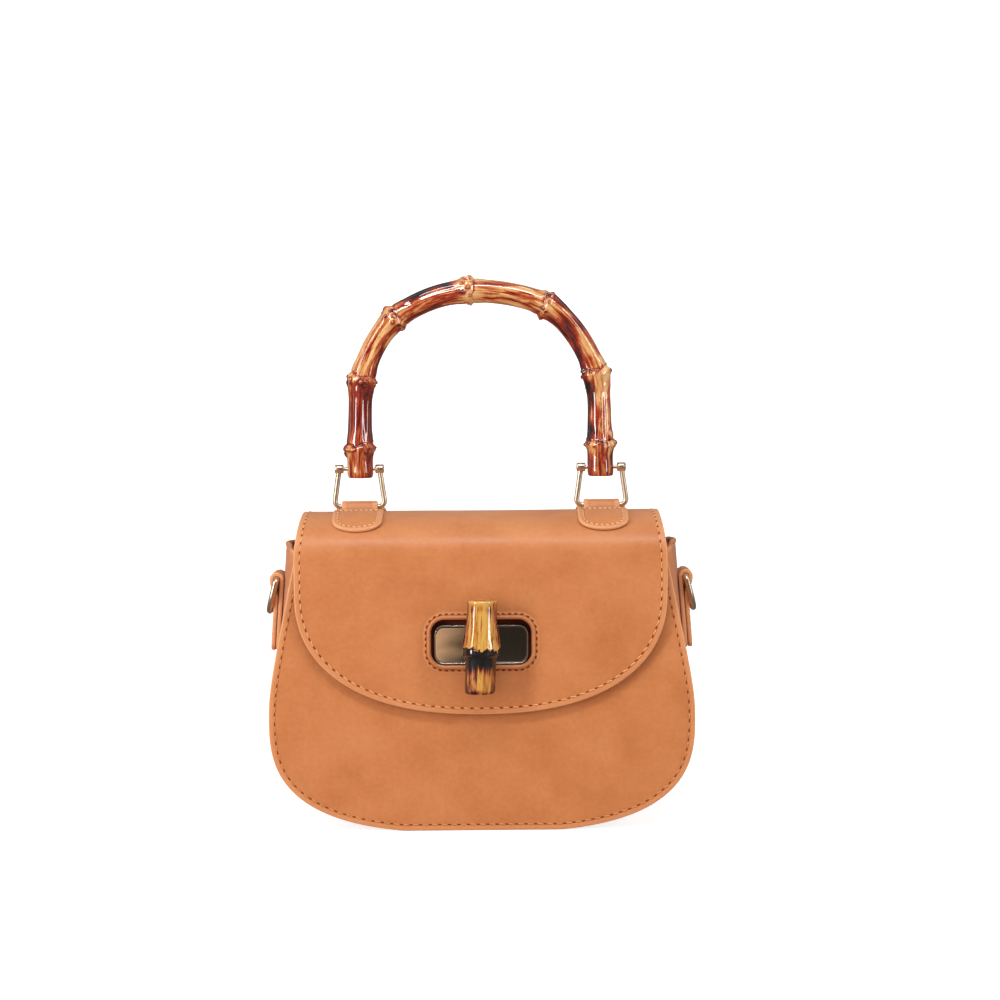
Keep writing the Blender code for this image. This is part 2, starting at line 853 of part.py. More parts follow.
def tab_line():
    """(y, z) points of a handle tab's middle layer, from its front end over the bar to its back."""
    reach = flap_reach + seat_gap + tab_thickness / 2
    wrap = bar_radius + seat_gap + tab_thickness / 2
    level = crest_height + seat_gap + tab_thickness / 2
    lift = level + tab_fillet - shackle_bar_height
    foot_y = math.sqrt((wrap + tab_fillet) ** 2 - lift**2)
    meet = math.atan2(lift, foot_y)
    half = []
    for step in range(arc_steps + 1):
        turn = math.pi / 2 + (meet - math.pi / 2) * step / arc_steps
        half.append((-wrap * math.cos(turn), shackle_bar_height + wrap * math.sin(turn)))
    for step in range(1, arc_steps + 1):
        turn = meet + math.pi + (math.pi / 2 - meet) * step / arc_steps
        y = foot_y + tab_fillet * math.cos(turn)
        half.append((-y, level + tab_fillet + tab_fillet * math.sin(turn)))
    crest = reversed(crest_line(reach))
    half.extend(place for place in crest if place[0] < -foot_y - tab_fillet)
    return half


def tab_half_width(distance, end):
    """The tab's half width at a distance along it: a narrow loop, a wider pad, a round end."""
    if distance <= tab_neck_start:
        return tab_loop_half_width
    if distance <= tab_neck_end:
        share = (distance - tab_neck_start) / (tab_neck_end - tab_neck_start)
        ease = share * share * (3 - 2 * share)
        return tab_loop_half_width + (tab_pad_half_width - tab_loop_half_width) * ease
    round_start = end - tab_pad_half_width
    if distance <= round_start:
        return tab_pad_half_width
    share = min(tab_tip_share, (distance - round_start) / (end - round_start))
    return tab_pad_half_width * math.sqrt(1 - share**2)


def handle_tab_part(name, middle):
    """A leather strap over a shackle's bar, sewn to the flap by a pad in front and behind."""
    line = tab_line()
    length = sum(math.dist(first, second) for first, second in zip(line, line[1:]))
    end = min(length, tab_pad_reach + tab_neck_start)
    dense = respaced(line, outline_steps)
    distances = [tab_neck_start * step / arc_steps for step in range(arc_steps)]
    pad_steps = tab_steps - arc_steps
    for step in range(pad_steps + 1):
        share = math.sin(math.pi / 2 * step / pad_steps)
        distances.append(tab_neck_start + (end - tab_neck_start) * share)
    half = []
    for distance in distances:
        index = min(outline_steps - 1, round(distance / length * (outline_steps - 1)))
        y, z = dense[index]
        half.append((tab_half_width(distance, end), y, z))
    back = [(width, -y, z) for width, y, z in reversed(half[1:])]
    rows = []
    for width, y, z in [*back, *half]:
        rows.append([(middle + share * width, y, z) for share in (-1, 0, 1)])
    part = add_part(name, sheet(rows), leather, bag)
    thicken(part, tab_thickness)
    return part


def shackle_part(name, frame):
    """A wire shackle: a bar in the tab, two arms that draw in, and an eye on each."""
    eye_x = shackle_eye_spacing / 2
    foot_x = shackle_foot_half_width
    start = [(-eye_x, 0, shackle_rise), (-foot_x, 0, 0), (foot_x, 0, 0), (eye_x, 0, shackle_rise)]
    wire = tube(name, rounded_path(start, shackle_corner), shackle_wire)
    part = add_part(name, wire, gilt, frame)
    for side in (-1, 1):
        middle = side * eye_x
        eye = cylinder_mesh(eye_diameter / 2, middle - eye_length / 2, middle + eye_length / 2, "X")
        for vertex in eye.vertices:
            vertex.co.z += shackle_rise
        combine(part, add_cutter("%s_eye_%d" % (name, side), eye, frame), "UNION")
    reach = eye_x + eye_length / 2 + cut_overrun
    bore = cylinder_mesh(eye_bore, -reach, reach, "X")
    for vertex in bore.vertices:
        vertex.co.z += shackle_rise
    combine(part, add_cutter(name + "_bore", bore, frame))
    return part


def handle_line():
    """The handle's middle line from the foot of one leg, over the arch, to the other."""
    half_span = handle_leg_spacing / 2
    points = [(-half_span, -handle_leg_drop), (-half_span, handle_arch_height)]
    for step in range(1, 2 * outline_steps):
        turn = math.pi * step / (2 * outline_steps)
        cosine = math.cos(turn)
        share = abs(cosine) ** (2 / handle_arch_exponent)
        x = -math.copysign(share, cosine) * half_span
        rise = handle_arch_rise * math.sin(turn) ** (2 / handle_arch_exponent)
        points.append((x, handle_arch_height + rise))
    points.extend([(half_span, handle_arch_height), (half_span, -handle_leg_drop)])
    return points


def handle_radius_at(place, length, knots):
    """The cane's radius at a distance along it."""
    from_foot = min(place, length - place)
    foot = max(0.0, 1 - from_foot / handle_foot_length)
    radius = handle_radius + (handle_foot_radius - handle_radius) * foot
    for knot, rise in zip(knots, knot_rises):
        away = place - knot if place < length / 2 else knot - place
        radius += knot_swell(away, rise)
    return radius


def bamboo_handle_part(frame):
    """The bent cane with its knots, bored at each foot for a shackle pin."""
    line = handle_line()
    lengths = [0.0]
    for first, second in zip(line, line[1:]):
        lengths.append(lengths[-1] + math.dist(first, second))
    length = lengths[-1]
    knots = [length * share for share in knot_places_shares]
    stations = cane_stations(length, knots)
    points = []
    shares = []
    index = 0
    for place in stations:
        while index < len(line) - 2 and lengths[index + 1] < place:
            index += 1
        share = (place - lengths[index]) / (lengths[index + 1] - lengths[index])
        (x, z), (next_x, next_z) = line[index], line[index + 1]
        points.append((x + (next_x - x) * share, 0, z + (next_z - z) * share))
        shares.append(handle_radius_at(place, length, knots) / handle_radius)
    mesh = tube("bamboo_handle", points, 2 * handle_radius, False, cane_side_steps, shares)
    part = add_part("bamboo_handle", mesh, bamboo, frame)
    reach = handle_leg_spacing + cut_overrun
    bore = cylinder_mesh(eye_bore, -reach, reach, "X")
    combine(part, add_cutter("handle_bore", bore, frame))
    return part


def pin_part(name, middle, frame):
    """A pin through a shackle's two eyes and the handle's foot between them."""
    half = shackle_eye_spacing / 2 + eye_length / 2
    pin = cylinder_mesh(pin_diameter / 2, middle - half, middle + half, "X")
    return add_part(name, round_shading(pin), gilt, frame)


def gusset_face(height):
    """How far out the gusset's outer face lies at mid depth, at a height."""
    above = height - belly_height
    narrowing = math.hypot(side_ease, side_slope_share * above) - side_ease
    swell = gusset_bulge * bulge_share(height) - seam_flange
    return body_half_width - narrowing + swell + gusset_thickness / 2


def side_tab_part(name, side, frame, slant):
    """A doubled leather strap round the ring's bar, sewn to the gusset below it."""
    wrap = ring_wire / 2 + seat_gap + side_tab_thickness / 2
    sewn = side_tab_thickness + seat_gap - wrap
    tail = (side_bar_height - side_tab_tail_height) / math.cos(slant)
    line = [(-wrap, -tail), (-wrap, 0)]
    for step in range(1, 2 * arc_steps + 1):
        turn = math.pi * (1 - step / (2 * arc_steps))
        line.append((wrap * math.cos(turn), wrap * math.sin(turn)))
    for step in range(1, arc_steps + 1):
        share = step / arc_steps
        ease = share * share * (3 - 2 * share)
        line.append((wrap + (sewn - wrap) * ease, -side_tab_closing * share))
    line.append((sewn, -tail))
    half = side_tab_width / 2
    rows = [[(x, across * half, z) for across in (-1, 0, 1)] for x, z in line]
    part = add_part(name, sheet(rows), leather, frame)
    part.rotation_euler = (0, -slant, 0 if side > 0 else math.pi)
    thicken(part, side_tab_thickness)
    return part


def ring_part(name, frame, side, swing):
    """A closed wire ring with a straight bar and a round foot, hanging from its bar."""
    half = ring_width / 2
    corners = [(0, -half, 0), (0, half, 0), (0, half, -ring_drop), (0, -half, -ring_drop)]
    bend = half * ring_corner_share
    top = rounded_path(corners, ring_wire, closed=True)
    foot = rounded_path(corners, bend, closed=True)
    steps = arc_steps + 1
    points = [*top[: 2 * steps], *foot[2 * steps :]]
    mesh = tube(name, points, ring_wire, closed=True)
    part = add_part(name, mesh, gilt, frame)
    part.rotation_euler = (0, -swing if side > 0 else swing, 0)
    return part


clear_scene()
handbag = new_collection("handbag")
cutters = new_collection("cutters")

leather = finish("tan leather", (0.62, 0.24, 0.09), 0.5)
cloth = finish("lining cloth", (0.35, 0.24, 0.15), 0.9)
card = finish("stiff card", (0.45, 0.38, 0.30), 0.9)
bamboo = finish("lacquered bamboo", (0.52, 0.28, 0.10), 0.25)
gilt = finish("pale gold metal", (0.83, 0.60, 0.42), 0.15, 1.0)
steel = finish("zinc steel", (0.60, 0.60, 0.60), 0.35, 1.0)

bag = add_frame("bag", None, (0, bag_setback, 0))
front_frame = add_frame("front_face", bag, (0, -base_depth / 2, 0), (math.pi / 2 - lean, 0, 0))
back_frame = add_frame("back_face", bag, (0, base_depth / 2, 0), (math.pi / 2 - lean, 0, math.pi))
across_frame = add_frame("across", bag, (0, 0, 0), (math.pi / 2, 0, math.pi / 2))
lock_frame = add_frame("lock_axis", front_frame, (0, plate_height, 0))
toggle_frame = add_frame("toggle_axis", lock_frame)
handle_frame = add_frame("handle_axis", bag, (0, 0, shackle_bar_height + shackle_rise))

ground_half = body_half_width + cut_overrun
ground_box = ((-ground_half, -base_depth, -base_depth), (ground_half, base_depth, 0))
ground_trim = add_cutter("ground_trim", boxes_mesh([ground_box]), bag)
shaft_hole = add_cutter("shaft_hole", shaft_way(shaft_diameter / 2 + seat_gap), front_frame)
leg_slots = add_cutter("leg_slots", boxes_mesh(leg_boxes(seat_gap, False)), front_frame)

front_panel = panel("front_panel", front_frame)
panel("back_panel", back_frame)
front_board = board("front_board", front_frame)
board("back_board", back_frame)
gusset_part()
base_board_part()
lining = lining_part()
inner_pocket_part()

lock_plate_part()
lock_backing = lock_backing_part()
lock_spring_part()
for layer in (front_panel, front_board, lining, lock_backing):
    combine(layer, leg_slots)
    combine(layer, shaft_hole)

lining_inner = flap_gap
board_inner = lining_inner + flap_lining_thickness + seat_gap
leather_inner = board_inner + flap_board_thickness + seat_gap
trim_clear = trim_wall + seat_gap
flap_layer(
    "flap_lining",
    lining_inner,
    flap_lining_thickness,
    flap_lining_margin,
    cloth,
    flap_back_height + flap_lining_margin,
    trim_clear,
)
flap_layer(
    "flap_board",
    board_inner,
    flap_board_thickness,
    flap_board_margin,
    card,
    flap_back_height + flap_board_margin,
    flap_board_margin,
)
flap_layer(
    "flap_leather",
    leather_inner,
    flap_leather_thickness,
    0,
    leather,
    flap_back_height,
    trim_clear,
)
slot_trim_part()

lock_shaft_part()
toggle_screw_part()
toggle_bamboo_part()

bamboo_handle_part(handle_frame)
side_slant = math.atan(
    (gusset_face(side_tab_tail_height) - gusset_face(side_bar_height))
    / (side_bar_height - side_tab_tail_height)
)
bar_reach = ring_wire / 2 + 2 * seat_gap + side_tab_thickness
side_bar_x = gusset_face(side_bar_height) + bar_reach / math.cos(side_slant)
ring_rest = math.asin((ring_wire + side_tab_thickness + 2 * seat_gap) / ring_drop)
for side, hand in ((-1, "left"), (1, "right")):
    middle = side * tab_spacing / 2
    handle_tab_part("handle_tab_" + hand, middle)
    shackle_frame = add_frame("shackle_axis_" + hand, bag, (middle, 0, shackle_bar_height))
    shackle_part("shackle_" + hand, shackle_frame)
    pin_part("pin_" + hand, middle, handle_frame)
    ring_frame = add_frame("ring_axis_" + hand, bag, (side * side_bar_x, 0, side_bar_height))
    side_tab_part("side_tab_" + hand, side, ring_frame, side_slant)
    ring_part("dring_" + hand, ring_frame, side, ring_rest)
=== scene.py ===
"""Looks of a small leather handbag with a bamboo handle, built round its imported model."""

import math

import bmesh
import bpy
import numpy as np
from mathutils import Matrix, Vector
from mathutils.geometry import delaunay_2d_cdt


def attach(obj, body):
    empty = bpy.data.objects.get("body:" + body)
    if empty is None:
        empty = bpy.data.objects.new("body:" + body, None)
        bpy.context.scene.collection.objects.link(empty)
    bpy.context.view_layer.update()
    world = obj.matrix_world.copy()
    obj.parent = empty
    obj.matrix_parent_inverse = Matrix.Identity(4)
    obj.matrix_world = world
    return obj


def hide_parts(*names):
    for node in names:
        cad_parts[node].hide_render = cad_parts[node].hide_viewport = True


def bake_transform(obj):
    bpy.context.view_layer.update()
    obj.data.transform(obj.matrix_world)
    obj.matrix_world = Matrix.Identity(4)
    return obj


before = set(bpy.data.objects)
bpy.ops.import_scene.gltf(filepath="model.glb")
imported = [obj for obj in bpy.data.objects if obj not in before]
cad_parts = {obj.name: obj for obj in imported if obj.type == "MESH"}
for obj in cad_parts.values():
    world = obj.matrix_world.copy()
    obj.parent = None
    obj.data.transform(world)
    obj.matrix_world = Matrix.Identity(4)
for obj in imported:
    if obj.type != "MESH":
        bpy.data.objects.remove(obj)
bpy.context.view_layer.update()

# Bag body: metres, radians and shares
setback = 0.009423
lean = 0.0426748
half_base_depth = 0.036
body_half_width = 0.105
belly_height = 0.057
belly_drop = 0.058
belly_exponent = 2.85
side_ease = 0.0036
side_slope_share = 0.215
panel_height = 0.137
stand_floor = 0.0002
panel_thickness = 0.0024
gusset_thickness = 0.0016
seam_flange = 0.0040
gusset_bulge = 0.0098
gusset_bulge_start = 0.060
gusset_peak = 0.0020
gusset_rim_radius = 0.0013
seat_gap = 0.0003
inner_depth = 0.0042
backing_depth = 0.0053
lining_thickness = 0.0008
lining_inset = 0.0077
lining_corner_share = 0.22
lining_below_top = 0.0080

# Flap
flap_half_width = 0.0916
flap_tip_height = 0.0580
flap_round_height = 0.0608
flap_exponent = 2.35
flap_back_height = 0.128
crest_height = 0.1556
shoulder_drop = 0.0186
flap_crest_narrowing = 0.0020
flap_reach = 0.0037
leather_thickness = 0.0014
flap_inner_reach = 0.0005
flap_lining_thickness = 0.0006
flap_lining_inset = 0.0008
flap_seam_from_end = 0.0055

# Lock
slot_height = 0.0934
slot_size = (0.049, 0.0222)
slot_corner = 0.0065
slot_ease = 0.0013
trim_width = 0.0027
plate_height = 0.0921
plate_size = (0.046, 0.0190)
plate_corner = 0.0045
plate_top = 0.0025
plate_foot_place = (0.01395, 0.006)
plate_foot_size = (0.0042, 0.0036)
toggle_length = 0.0448
toggle_radius = 0.0074
toggle_reach = 0.0135
toggle_knot_share = 0.51
toggle_tilt = 0.035
toggle_neck_share = 0.955
crown_flare = 0.0022
crown_tooth = 0.0022
lip_rise = 0.0017
lip_length = 0.0036
burnt_band_length = 0.0092

# Handle, tabs and rings
tab_spacing = 0.1220
tab_thickness = 0.0015
tab_loop_half_width = 0.0090
tab_pad_half_width = 0.0125
tab_pad_end = 0.0330
tab_pad_middle = 0.016
tab_seam_inset = 0.0026
tab_press_inset = 0.0031
tab_row_start = 0.0125
tab_bar_half_length = 0.0101
tab_bar_place = 0.0117
bar_height = 0.1579
bar_radius = 0.0013
shackle_rise = 0.0192
shackle_foot_half_width = 0.0129
shackle_bend = 0.0030
eye_half_spacing = 0.0102
eye_radius = 0.0022
eye_half_length = 0.0022
pin_radius = 0.00095
pin_height = 0.1771
handle_half_span = 0.0605
handle_leg_drop = 0.0043
handle_arch_height = 0.0280
handle_arch_rise = 0.0609
handle_arch_exponent = 2.25
handle_radius = 0.0059
handle_foot_radius = 0.0067
handle_foot_length = 0.0400
handle_crook = 0.15
cane_share = 0.975
furrow_depth = 0.00055
knot_shares = (0.056, 0.188, 0.326, 0.481, 0.638, 0.803, 0.940)
knot_rises = (0.0020, 0.0019, 0.0016, 0.0013, 0.0020, 0.0019, 0.0020)
knot_wander = 0.0008
swell_past_knot = 0.0044
swell_before_knot = 0.0062
swell_before_end_knot = 0.0034
groove_from_knot = 0.0024
scar_height = 0.00105
side_bar = (0.102804, 0.1222)
side_slant = 0.073512
side_tab_half_width = 0.0080
side_tab_thickness = 0.0021
side_tab_tail = 0.0362
side_seam_inset = 0.0024
side_seam_from_end = 0.0026
side_seam_height = 0.0125
sewn_below = 0.010
ring_hang = 0.257131
ring_radius = 0.00125
ring_wire_radius = 0.00148
ring_half_width = 0.0100
ring_drop = 0.0172

# Stitching and leather edges
stitch_pitch = 0.0047
flap_pitch = 0.0048
side_pitch = 0.0034
slot_pitch = 0.0031
fine_pitch = 0.0026
thread_radius = 0.00036
slot_thread_radius = 0.00034
tab_thread_radius = 0.00029
side_thread_radius = 0.00026
seam_inset = 0.0030
seam_press = 0.00012
edge_radius = 0.0007
edge_rings = (0.0, 0.00008, 0.00022, 0.00042, 0.0007, 0.0016, 0.0024, 0.0029, 0.0034, 0.0042)

# Values for the leather's finish: a far edge, the back layer's shift and the gusset's width
far_from_edge = 0.02
back_pattern_shift = 0.05
gusset_pattern_width = 0.066

both_sides = (("left", -1), ("right", 1))

# The flap's seam on the back: two bodies and two points; a piece given these is baked in place and
# follows neither body
hinge_low = (0, 0.0491, 0.1270)
hinge_high = (0, 0.0426, 0.1316)
hinge = ("body", "flap", hinge_low, hinge_high)


# Materials


class Nodes:
    """Short calls for one node tree. An input is a link, a number or a colour."""

    def __init__(self, owner, shader="Principled BSDF"):
        owner.use_nodes = True
        self.owner = owner
        self.tree = owner.node_tree
        self.shader = self.tree.nodes[shader]

    def feed(self, socket, value):
        if isinstance(value, bpy.types.NodeSocket):
            self.tree.links.new(value, socket)
        elif isinstance(value, tuple) and len(socket.default_value) == 4:
            socket.default_value = (*value, 1)
        else:
            socket.default_value = value

    def to_shader(self, **inputs):
        for socket, value in inputs.items():
            self.feed(self.shader.inputs[socket.replace("_", " ")], value)

    def add(self, kind, output, inputs, **settings):
        """The output of a new node, made from its settings and its inputs."""
        node = self.tree.nodes.new("ShaderNode" + kind)
        for key, value in settings.items():
            setattr(node, key, value)
        for socket, value in inputs.items():
            self.feed(node.inputs[socket], value)
        return node.outputs[output]

    def attribute(self, name, output="Fac"):
        return self.add("Attribute", output, {}, attribute_name=name)

    def own_place(self):
        return self.add("TexCoord", "Object", {})

    def rays(self):
        """What the camera sees, straight or through something, and what polished metal sees."""
        kinds = ("Is Camera Ray", "Is Transmission Ray", "Is Glossy Ray")
        camera, through, glossy = (self.add("LightPath", kind, {}) for kind in kinds)
        return self.math("MAXIMUM", camera, through), glossy

    def place(self, source, stretch):
        """A position stretched by one number, or by one for each axis."""
        stretch = stretch if isinstance(stretch, tuple) else (stretch,) * 3
        return self.add("Mapping", "Vector", {"Vector": source, "Scale": stretch})

    def noise(self, source, stretch, detail, rough=0.5, distortion=0.0):
        """Clouds over a stretched position."""
        return self.add("TexNoise", "Fac", {
            "Vector": self.place(source, stretch), "Scale": 1.0, "Detail": detail,
            "Roughness": rough, "Distortion": distortion,
        })

    def ramp(self, factor, stops):
        """Colours (or greys) at places from 0 to 1."""
        node = self.tree.nodes.new("ShaderNodeValToRGB")
        elements = node.color_ramp.elements
        while len(elements) < len(stops):
            elements.new(0.5)
        for element, (at, colour) in zip(elements, stops):
            element.position = at
            element.color = (*(colour if isinstance(colour, tuple) else (colour,) * 3), 1)
        self.feed(node.inputs["Fac"], factor)
        return node.outputs["Color"]

    def math(self, kind, first, second, clamp=False):
        return self.add("Math", "Value", {0: first, 1: second}, operation=kind, use_clamp=clamp)

    def times(self, first, second):
        return self.math("MULTIPLY", first, second)

    def plus(self, first, *others):
        for other in others:
            first = self.math("ADD", first, other)
        return first

    def mix(self, factor, first, second, blend="MIX"):
        """A colour between two colours."""
        inputs = {0: factor, 6: first, 7: second}
        return self.add("Mix", 2, inputs, data_type="RGBA", blend_type=blend)

    def shade(self, tone, *greys):
        for grey in greys:
            tone = self.mix(1.0, tone, grey, "MULTIPLY")
        return tone

    def bumps(self, *layers):
        """The shader's relief from (height, distance, strength) layers, each over the last."""
        below = {}
        for height, distance, strength in layers:
            inputs = {"Height": height, "Distance": distance, "Strength": strength, **below}
            below = {"Normal": self.add("Bump", "Normal", inputs)}
        self.to_shader(**below)


def new_material(name, **inputs):
    nodes = Nodes(bpy.data.materials.new(name))
    nodes.to_shader(**inputs)
    return nodes


def dimmed(colour, share):
    return tuple(part * share for part in colour)


def leather_material(name, colour, edge_colour):
    """Smooth tan leather: fine pores, soft mottling, a darker pressed line and painted edges."""
    nodes = new_material(name, Sheen_Weight=0.13, Sheen_Roughness=0.5, Specular_IOR_Level=0.42)
    flat = nodes.attribute("flat", "Vector")
    edge = nodes.attribute("edge")
    centimetres = nodes.times(edge, 100)
    mottle = nodes.noise(flat, 38, 4, 0.6)
    darker = (colour[0] * 0.90, colour[1] * 0.84, colour[2] * 0.78)
    lighter = (colour[0] * 1.06, colour[1] * 1.14, colour[2] * 1.22)
    tone = nodes.ramp(mottle, [(0.30, darker), (0.52, colour), (0.75, lighter)])
    grain = nodes.ramp(nodes.noise(flat, 420, 3, 0.6), [(0.35, 0.92), (0.65, 1.0)])
    pressed = nodes.ramp(centimetres, [(0.20, 1.0), (0.31, 0.96), (0.42, 1.0)])
    tone = nodes.shade(tone, grain, pressed)
    margin = nodes.ramp(centimetres, [(0.0, 0.42), (0.20, 0.34), (0.29, 0.0)])
    rim = nodes.ramp(nodes.times(edge, 1000), [(0.35, 1.0), (0.75, 0.0)])
    for share in (margin, rim):
        tone = nodes.mix(share, tone, edge_colour)
    rough = nodes.ramp(mottle, [(0.3, 0.38), (0.7, 0.52)])
    nodes.to_shader(Base_Color=tone, Roughness=rough)
    creases = nodes.noise(flat, (700, 520, 600), 4, 0.65)
    pores = {"Vector": nodes.place(flat, 1500), "Scale": 1.0}
    pores = nodes.add("TexVoronoi", "Distance", pores)
    waves = nodes.noise(flat, 60, 2)
    nodes.bumps((creases, 0.00006, 0.5), (pores, 0.00003, 0.35), (waves, 0.0004, 0.25))
    return nodes.owner


def cloth_material(name, colour, scale):
    """A plain weave: two sets of threads crossing."""
    nodes = new_material(name, Roughness=0.85, Sheen_Weight=0.25, Sheen_Roughness=0.5)
    flat = nodes.attribute("flat", "Vector")
    inputs = {"Vector": flat, "Scale": scale, "Distortion": 0.4}
    weave = nodes.times(*[
        nodes.add("TexWave", "Fac", inputs, bands_direction=axis) for axis in ("X", "Y")
    ])
    tone = nodes.mix(weave, dimmed(colour, 0.62), colour)
    patch = nodes.ramp(nodes.noise(flat, 60, 4), [(0.3, 0.86), (0.7, 1.0)])
    nodes.to_shader(Base_Color=nodes.shade(tone, patch))
    nodes.bumps((weave, 0.00012, 0.6))
    return nodes.owner


def suede_material(name, colour):
    """Brushed suede with a soft, cloudy nap."""
    nodes = new_material(name, Roughness=0.92, Sheen_Weight=0.5, Sheen_Roughness=0.6)
    flat = nodes.attribute("flat", "Vector")
    cloud = nodes.noise(flat, 45, 5, 0.65)
    nap = nodes.noise(flat, (2200, 1500, 1800), 2)
    tone = nodes.ramp(cloud, [(0.3, dimmed(colour, 0.72)), (0.7, colour)])
    nodes.to_shader(Base_Color=nodes.shade(tone, nodes.ramp(nap, [(0.3, 0.85), (0.7, 1.0)])))
    nodes.bumps((nap, 0.00008, 0.6))
    return nodes.owner


def metal_material(name, colour, roughness, wear=0.10, grain=0.000002):
    """Plated metal with faint hairlines, worn a little duller in places."""
    nodes = new_material(name, Metallic=1.0)
    spot = nodes.own_place()
    dull = nodes.noise(spot, 160, 4)
    rough = nodes.ramp(dull, [(0.3, roughness), (0.75, roughness + wear)])
    tone = nodes.ramp(dull, [(0.3, colour), (0.8, dimmed(colour, 0.88))])
    nodes.to_shader(Base_Color=tone, Roughness=rough)
    nodes.bumps((nodes.noise(spot, (900, 900, 5200), 3), grain, 0.4))
    return nodes.owner


def bamboo_material(name, stops, streak_share):
    """Lacquered bamboo: fibres and stains along the cane under a clear glossy coat."""
    nodes = new_material(name, Roughness=0.45, Specular_IOR_Level=0.12)
    nodes.to_shader(Coat_Weight=1.0, Coat_Roughness=0.03, Coat_IOR=1.68)
    cane = nodes.attribute("cane", "Vector")
    wide = nodes.noise(cane, (330, 330, 62), 5, 0.6, 1.0)
    thin = nodes.noise(cane, (1300, 1300, 60), 4, 0.6)
    veins = nodes.noise(cane, (820, 820, 30), 3, 0.55, 0.3)
    flecks = nodes.noise(cane, (900, 900, 200), 3, 0.7, 1.5)
    streaks = nodes.times(nodes.math("SUBTRACT", wide, 0.5), streak_share)
    lines = nodes.times(nodes.math("SUBTRACT", thin, 0.5), streak_share * 0.55)
    veins = nodes.times(nodes.ramp(veins, [(0.56, 0.0), (0.66, 1.0)]), streak_share * 0.16)
    flecks = nodes.times(nodes.ramp(flecks, [(0.58, 0.0), (0.70, 1.0)]), 0.26)
    scars = nodes.times(nodes.attribute("scar"), 0.33)
    total = nodes.plus(nodes.attribute("stain"), streaks, nodes.plus(lines, veins), flecks)
    total = nodes.math("ADD", total, scars, clamp=True)
    nodes.to_shader(Base_Color=nodes.ramp(total, stops))
    nodes.bumps((thin, 0.00002, 0.5), (wide, 0.00012, 0.4))
    return nodes.owner


def card_material(name, colour):
    """Stiff board with short fibres."""
    nodes = new_material(name, Roughness=0.9)
    fibre = nodes.noise(nodes.own_place(), (900, 900, 300), 5, 0.7)
    nodes.to_shader(Base_Color=nodes.ramp(fibre, [(0.3, dimmed(colour, 0.7)), (0.7, colour)]))
    nodes.bumps((fibre, 0.00005, 0.5))
    return nodes.owner


def plain_speckle(name, colour, roughness):
    """Thread, or a dark colour that paints shade in holes and recesses: one colour with a little
    speckle.
    """
    nodes = new_material(name, Roughness=roughness, Specular_IOR_Level=0.08)
    speckle = nodes.noise(nodes.own_place(), 3000, 2)
    tone = nodes.ramp(speckle, [(0.35, dimmed(colour, 0.75)), (0.65, colour)])
    nodes.to_shader(Base_Color=tone)
    return nodes.owner


tan = (0.536, 0.190, 0.0580)
edge_tan = (0.685, 0.318, 0.137)
leather = leather_material("tan_leather", tan, edge_tan)
thread = plain_speckle("tan_thread", (0.635, 0.262, 0.094), 0.6)
flap_thread = plain_speckle("flap_thread", (0.79, 0.38, 0.155), 0.6)
pale_thread = plain_speckle("pale_thread", (0.88, 0.52, 0.27), 0.6)
# Needle holes: dark ovals that paint the shade inside the holes, paler under the pale pad threads
needle_hole_shade = plain_speckle("needle_hole_shade", (0.25, 0.05, 0.015), 0.9)
soft_hole_shade = plain_speckle("soft_hole_shade", (0.42, 0.13, 0.042), 0.9)
# Painted shade: a dark brown for the slot's inner wall and the gap round the lock plate
painted_shade_brown = plain_speckle("painted_shade_brown", (0.115, 0.028, 0.012), 0.6)
lining_cloth = cloth_material("lining_cloth", (0.42, 0.27, 0.15), 700)
suede = suede_material("flap_suede", (0.50, 0.28, 0.15))
gilt = metal_material("pale_gilt", (0.81, 0.63, 0.46), 0.28, 0.06)
# Painted highlight: a paler, duller copy of the gilt for the bright line on the lock plate's bevel
bevel_highlight_gilt = metal_material("bevel_highlight_gilt", (0.96, 0.88, 0.78), 0.36, 0.02)
polished = metal_material("polished_gilt", (0.80, 0.62, 0.46), 0.02, 0.012, 0.0000005)
zinc = metal_material("zinc", (0.62, 0.62, 0.63), 0.30)
card = card_material("stiff_card", (0.42, 0.33, 0.24))
honey_stops = [
    (0.0, (0.72, 0.46, 0.22)),
    (0.20, (0.62, 0.32, 0.115)),
    (0.34, (0.45, 0.128, 0.031)),
    (0.48, (0.33, 0.030, 0.008)),
    (0.66, (0.18, 0.012, 0.005)),
    (0.86, (0.060, 0.006, 0.004)),
    (1.0, (0.003, 0.002, 0.002)),
]
handle_bamboo = bamboo_material("handle_bamboo", honey_stops, 1.6)
golden_stops = [
    (0.0, (0.60, 0.345, 0.079)),
    (0.25, (0.51, 0.242, 0.038)),
    (0.45, (0.36, 0.100, 0.016)),
    (0.62, (0.15, 0.020, 0.006)),
    (0.76, (0.010, 0.004, 0.003)),
    (1.0, (0.002, 0.002, 0.002)),
]
toggle_bamboo = bamboo_material("toggle_bamboo_finish", golden_stops, 1.9)


# Pieces in general


def dress(piece, material, rides, replaced=()):
    """Gives a piece its material and the body it follows; a piece given the hinge instead is baked in
    place.
    """
    piece.data.materials.append(material)
    if isinstance(rides, str):
        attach(piece, rides)
    else:
        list(rides)
        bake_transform(piece)
    if replaced:
        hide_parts(*replaced)


def add_object(name, data):
    made = bpy.data.objects.new(name, data)
    bpy.context.scene.collection.objects.link(made)
    return made


def mesh_piece(name, points, faces, values=None, sharp=50):
    """A new object from points and faces, with its values stored on the points."""
    mesh = bpy.data.meshes.new(name)
    mesh.from_pydata([tuple(map(float, point)) for point in points], [], faces)
    for key, data in (values or {}).items():
        data = np.asarray(data, np.float32)
        kind = "FLOAT_VECTOR" if data.ndim > 1 else "FLOAT"
        field = "vector" if data.ndim > 1 else "value"
        attribute = mesh.attributes.new(key, kind, "POINT")
        attribute.data.foreach_set(field, data.ravel())
    work = bmesh.new()
    work.from_mesh(mesh)
    bmesh.ops.recalc_face_normals(work, faces=work.faces)
    work.to_mesh(mesh)
    work.free()
    mesh.shade_smooth()
    mesh.set_sharp_from_angle(angle=math.radians(sharp))
    return add_object(name, mesh)


